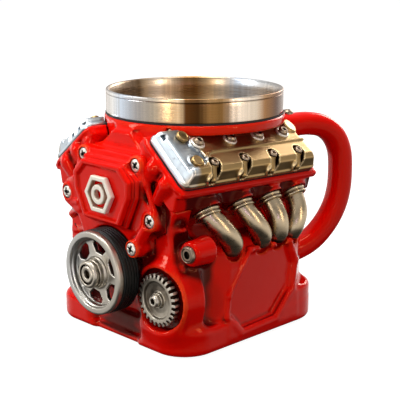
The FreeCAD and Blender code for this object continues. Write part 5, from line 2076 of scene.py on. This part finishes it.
@dataclass(frozen=True)
class FrontFittings:
    """Cross-head screws, the side plug and the badge."""

    screws: tuple[Triple, ...] = Casting().screws
    level: float = Casting().emblem_level

    def screw(self, across: float, up: float, stand: float, turn: float) -> Surface:
        """Domed head on a polar grid; the cross sinks where either arm's half width is not passed.

        Args:
            across: x of the screw.
            up: height of the screw.
            stand: how far it stands off the common seat.
            turn: angle of the cross in radians.

        Returns:
            The head and its shank.
        """
        ring = np.concatenate([np.linspace(0.0, 2.75, 34), [2.9, 2.92, 2.92, 1.3, 1.3, 0.0]])[:, None]
        angle = np.linspace(0.0, 2.0 * np.pi, 144, endpoint=False)[None, :]
        first, second = ring * np.cos(angle - turn), ring * np.sin(angle - turn)
        arm = np.minimum(np.abs(first), np.abs(second)) + 0.18 * np.clip(ring - 0.8, 0.0, 3.0)
        sink = np.clip((0.80 - arm) / 0.22, 0.0, 1.0) * np.clip((2.1 - ring) / 0.25, 0.0, 1.0)
        dome = 1.70 - 0.55 * (ring / 2.92) ** 2 - 0.25 * np.clip((ring - 2.5) / 0.42, 0.0, 1.0) ** 2
        height = dome - 1.15 * sink
        height[-5:] = np.array([0.85, 0.0, 0.0, -5.0, -5.0])[:, None]
        depth = 53.3 + stand + height
        points = np.stack([across + ring * np.cos(angle), -depth, up + ring * np.sin(angle)], axis=-1)
        # painted shade in the cross recess
        marks = {"hollow": np.where(height < -0.1, 0.0, sink), "crest": 0.25 * (1.0 - sink)}
        return grid_surface(points, False, True, marks).reversed()

    def plug(self) -> Surface:
        """Socket plug with a rolled rim.

        Returns:
            The plug.
        """
        profile = filleted(((0.0, 41.5, 0.0), (1.9, 41.5, 0.0), (1.9, 46.5, 0.0), (4.0, 46.5, 0.1), (4.0, 47.7, 0.5),
                            (3.3, 48.3, 0.4), (2.9, 47.9, 0.2), (2.4, 48.0, 0.2), (1.7, 48.0, 0.2), (1.6, 46.8, 0.0),
                            (0.0, 46.8, 0.0)))
        # painted shade in the socket and the rim groove, painted highlight elsewhere
        socket = 0.9 * (profile[:, 0] < 1.75) * (profile[:, 1] > 46.6)
        groove = 0.6 * np.exp(-((profile[:, 0] - 2.9) / 0.25) ** 2) * (profile[:, 1] > 47.5)
        sunk = np.clip(socket + groove, 0, 1)
        return turned(profile, 48, (PLUG_PLACE[0], 0.0, PLUG_PLACE[1]), Axis.Y, False,
                      {"hollow": sunk, "crest": 0.35 * (1 - sunk)})

    def badge(self) -> Recipe:
        """Rounded hexagon frame around a ring, about local z.

        Returns:
            The badge's shapes.
        """
        reach, thick = 9.6, 2.75
        corners = tuple((reach * math.cos(math.radians(60 * turn)), reach * math.sin(math.radians(60 * turn)))
                        for turn in range(6))
        hole = tuple((across * 0.74, up * 0.74) for across, up in corners)
        return Recipe((Step(Mix.ADD, Prism(corners, Axis.Z, 0.0, thick, 0.6)),
                       Step(Mix.CUT, Prism(hole, Axis.Z, -4.0, 8.0, 0.8), 0.6),
                       Step(Mix.ADD, Drum((0, 0, 0), (0, 0, thick), 4.7, None, 0.6)),
                       Step(Mix.CUT, Drum((0, 0, -4), (0, 0, 8), 2.25, None, 0.3), 0.6)))

    def build(self, finishes: Finishes) -> None:
        """Make the screws, the plug and the badge.

        Args:
            finishes: the mug's materials.
        """
        turns = (0.35, 0.9, 0.15, 0.6, 1.1)
        made = [self.screw(across, up, stand, turn) for (across, up, stand), turn in zip(self.screws, turns)]
        make_piece("cover_screws", joined(made), Body.MUG, ["front_screws"], finishes.nickel, 40.0)
        make_piece("crankcase_plug", self.plug(), Body.MUG, ["side_plug"], finishes.dark, 40.0)
        cast = Foundry(0.3).cast(self.badge().distance, (-10.4, -10.4, -0.6), (10.4, 10.4, 3.4))
        placed = np.stack([cast.points[:, 0], -58.8 - cast.points[:, 2], cast.points[:, 1] + self.level], axis=1)
        make_piece("shield_badge", Surface(placed, cast.faces, cast.marks), Body.MUG, ["emblem"], finishes.ivory)


@dataclass(frozen=True)
class Grip:
    """Bent grip in one upright plane, turned a little towards the right bank."""

    turn: float = 20.0
    wide: float = 6.35
    deep: float = 5.9
    line: tuple[Pair, ...] = ((38.4, 91.0), (44.0, 91.6), (53.0, 92.4), (63.0, 92.6), (72.0, 90.6), (79.0, 85.2),
                              (83.0, 77.0), (84.0, 66.5), (83.4, 56.0), (80.6, 46.5), (75.0, 37.6), (67.0, 30.2),
                              (57.0, 26.0), (44.0, 24.0), (38.0, 23.7))

    def bar(self) -> Surface:
        """Squarish bar along the line, flared at both roots.

        Returns:
            The grip in the mug's frame.
        """
        points = smooth_line(tuple((0.0, out, up) for out, up in self.line), 200)
        out = points[:, 1]
        root = np.clip((58.0 - out) / 16.0, 0.0, 1.0) ** 1.6
        flare = 1.0 + 0.26 * root
        # painted shade near both roots
        shape = swept(points, (1.0, 0.0, 0.0), self.wide * flare, self.deep * flare, 64, 2.5,
                      {"hollow": 0.30 * np.clip((50.0 - out) / 8.0, 0.0, 1.0), "crest": 0.15 + 0.0 * out})
        angle = math.radians(self.turn)
        turn = np.array([[math.cos(angle), -math.sin(angle), 0.0], [math.sin(angle), math.cos(angle), 0.0],
                         [0.0, 0.0, 1.0]])
        return shape.moved(lambda spots: spots @ turn)

    def bolt(self) -> Surface:
        """Dark dome bolt on the upper root.

        Returns:
            The bolt.
        """
        profile = filleted(((0.0, -1.2, 0.0), (2.9, -1.2, 0.1), (2.9, 1.2, 0.7), (1.5, 2.3, 0.4), (1.0, 2.0, 0.2),
                            (1.0, 1.1, 0.0), (0.0, 1.1, 0.0)))
        angle = math.radians(self.turn)
        seat = (51.5 * math.sin(angle), 51.5 * math.cos(angle), 98.2)
        # painted shade in the socket
        sunk = 0.9 * (profile[:, 0] < 1.05) * (profile[:, 1] > 0)
        return turned(profile, 44, seat, Axis.Z, False, {"hollow": sunk})

    def build(self, finishes: Finishes) -> None:
        """Make the grip and its bolt.

        Args:
            finishes: the mug's materials.
        """
        make_piece("grip_bar", self.bar(), Body.MUG, ["handle"], finishes.enamel)
        make_piece("grip_bolt", self.bolt(), Body.MUG, ["handle_bolt"], finishes.dark, 40.0)


# ---------------------------------------------------------------- studio

@dataclass(frozen=True)
class Softbox:
    """Rectangular light at a place, facing a target."""

    name: str
    place: Triple
    target: Triple
    wide: float
    high: float
    power: float
    color: Triple

    def build(self) -> None:
        """Make the light."""
        data = bpy.data.lights.new(self.name, "AREA")
        data.shape = "RECTANGLE"
        data.size, data.size_y = self.wide, self.high
        data.energy = self.power
        data.color = self.color
        light = bpy.data.objects.new(self.name, data)
        light.location = self.place
        aim = Vector(self.target) - Vector(self.place)
        light.rotation_euler = aim.to_track_quat("-Z", "Y").to_euler()
        bpy.context.scene.collection.objects.link(light)


@dataclass(frozen=True)
class Studio:
    """Pale floor, soft lights and the camera."""

    camera_place: Triple = (0.34999, -0.33787, 0.17860)
    aim: Triple = (-0.69485, 0.67791, -0.24003)
    lens: float = 90.68
    sensor: float = 36.0
    floor_glow: float = 0.94
    room_light: Pair = (1.25, 0.42)  # strength for mirrored rays, strength for diffuse rays
    lights: tuple[Softbox, ...] = (
        Softbox("key_left", (-0.55, -0.70, 0.55), (0.0, 0.0, 0.05), 0.18, 0.50, 5.0, (0.95, 0.97, 1.0)),
        Softbox("strip_front", (0.16, -0.80, 0.22), (0.0, 0.0, 0.05), 0.045, 0.50, 1.5, (1.0, 0.92, 0.84)),
        Softbox("fill_right", (0.85, 0.10, 0.30), (0.0, 0.0, 0.05), 0.10, 0.45, 1.5, (1.0, 0.80, 0.58)),
        Softbox("top", (0.00, -0.05, 0.80), (0.0, 0.0, 0.08), 0.34, 0.34, 5.2, (1.0, 0.97, 0.92)),
        Softbox("back", (-0.10, 0.75, 0.40), (0.0, 0.0, 0.06), 0.35, 0.4, 3.6, (1.0, 0.92, 0.84)),
        Softbox("violet", (0.62, -0.42, 0.16), (0.03, -0.03, 0.04), 0.030, 0.045, 0.16, (0.62, 0.45, 1.0)))

    def build(self) -> None:
        """Make everything that isn't the mug."""
        self.floor()
        self.world()
        self.camera()
        for light in self.lights:
            light.build()

    def floor(self) -> None:
        """Wide pale floor, glowing a little so that it stays plain far from the lights."""
        mesh = bpy.data.meshes.new("studio_floor")
        reach = np.linspace(-4.0, 4.0, 9)
        across, along = np.meshgrid(reach, reach, indexing="ij")
        points = np.stack([across, along, 0.0 * across], axis=-1)
        mesh.from_pydata(points.reshape(-1, 3).tolist(), [], grid_faces(9, 9, False, False)[:, ::-1].tolist())
        graph = Graph("floor_paper")
        graph.link(graph.mix(graph.noise(6.0, 2.0), (0.28, 0.28, 0.28), (0.32, 0.32, 0.32)),
                   graph.shader.inputs["Base Color"])
        graph.shader.inputs["Roughness"].default_value = 0.9
        graph.shader.inputs["Specular IOR Level"].default_value = 0.0
        graph.shader.inputs["Emission Color"].default_value = (1.0, 1.0, 1.0, 1.0)
        graph.shader.inputs["Emission Strength"].default_value = self.floor_glow
        mesh.materials.append(graph.material)
        floor = bpy.data.objects.new("studio_floor", mesh)
        floor.visible_diffuse = False
        floor.visible_glossy = False
        bpy.context.scene.collection.objects.link(floor)

    def world(self) -> None:
        """White behind the object and a dim room, darker below, for everything else."""
        world = bpy.data.worlds.new("studio")
        bpy.context.scene.world = world
        world.use_nodes = True
        nodes, links = world.node_tree.nodes, world.node_tree.links
        nodes.clear()
        room, backdrop = nodes.new("ShaderNodeBackground"), nodes.new("ShaderNodeBackground")
        parts, ramp = nodes.new("ShaderNodeSeparateXYZ"), nodes.new("ShaderNodeValToRGB")
        links.new(nodes.new("ShaderNodeTexCoord").outputs["Generated"], parts.inputs["Vector"])
        height = nodes.new("ShaderNodeMapRange")
        height.inputs["From Min"].default_value = -1.0
        links.new(parts.outputs["Z"], height.inputs["Value"])
        links.new(height.outputs["Result"], ramp.inputs["Fac"])
        elements = ramp.color_ramp.elements
        elements[0].color, elements[1].color = (0.03, 0.03, 0.03, 1.0), (0.70, 0.70, 0.72, 1.0)
        for place, tone in ((0.24, 0.05), (0.34, 0.85), (0.50, 0.95), (0.58, 0.50), (0.72, 0.30)):
            elements.new(place).color = (tone, tone * 0.98, tone * 0.96, 1.0)
        links.new(ramp.outputs["Color"], room.inputs["Color"])
        backdrop.inputs["Color"].default_value = (1.0, 1.0, 1.0, 1.0)
        dimmed = nodes.new("ShaderNodeMapRange")
        dimmed.inputs["To Min"].default_value, dimmed.inputs["To Max"].default_value = self.room_light
        path, mix = nodes.new("ShaderNodeLightPath"), nodes.new("ShaderNodeMixShader")
        output = nodes.new("ShaderNodeOutputWorld")
        links.new(path.outputs["Is Diffuse Ray"], dimmed.inputs["Value"])
        links.new(dimmed.outputs["Result"], room.inputs["Strength"])
        links.new(path.outputs["Is Camera Ray"], mix.inputs["Fac"])
        links.new(room.outputs["Background"], mix.inputs[1])
        links.new(backdrop.outputs["Background"], mix.inputs[2])
        links.new(mix.outputs["Shader"], output.inputs["Surface"])

    def camera(self) -> None:
        """Camera at the product view, level, with a long lens."""
        data = bpy.data.cameras.new("product_camera")
        data.lens = self.lens
        data.sensor_width = self.sensor
        data.clip_start = 0.01
        camera = bpy.data.objects.new("product_camera", data)
        camera.location = self.camera_place
        camera.rotation_euler = Vector(self.aim).to_track_quat("-Z", "Y").to_euler()
        bpy.context.scene.collection.objects.link(camera)
        bpy.context.scene.camera = camera
        bpy.context.scene.view_settings.view_transform = "Standard"


def main() -> None:
    """Build the mug sub-assembly by sub-assembly."""
    logging.basicConfig(level=logging.INFO, format="%(message)s")
    finishes = Finishes.made()
    for part in (Casting(), HeadRail(), ValveCover(), Exhaust(), Cup(), CrankPulley(), TimingGear(),
                 FrontFittings(), Grip()):
        LOG.info("building %s", type(part).__name__)
        part.build(finishes)
    Studio().build()


if __name__ == "__main__":
    main()
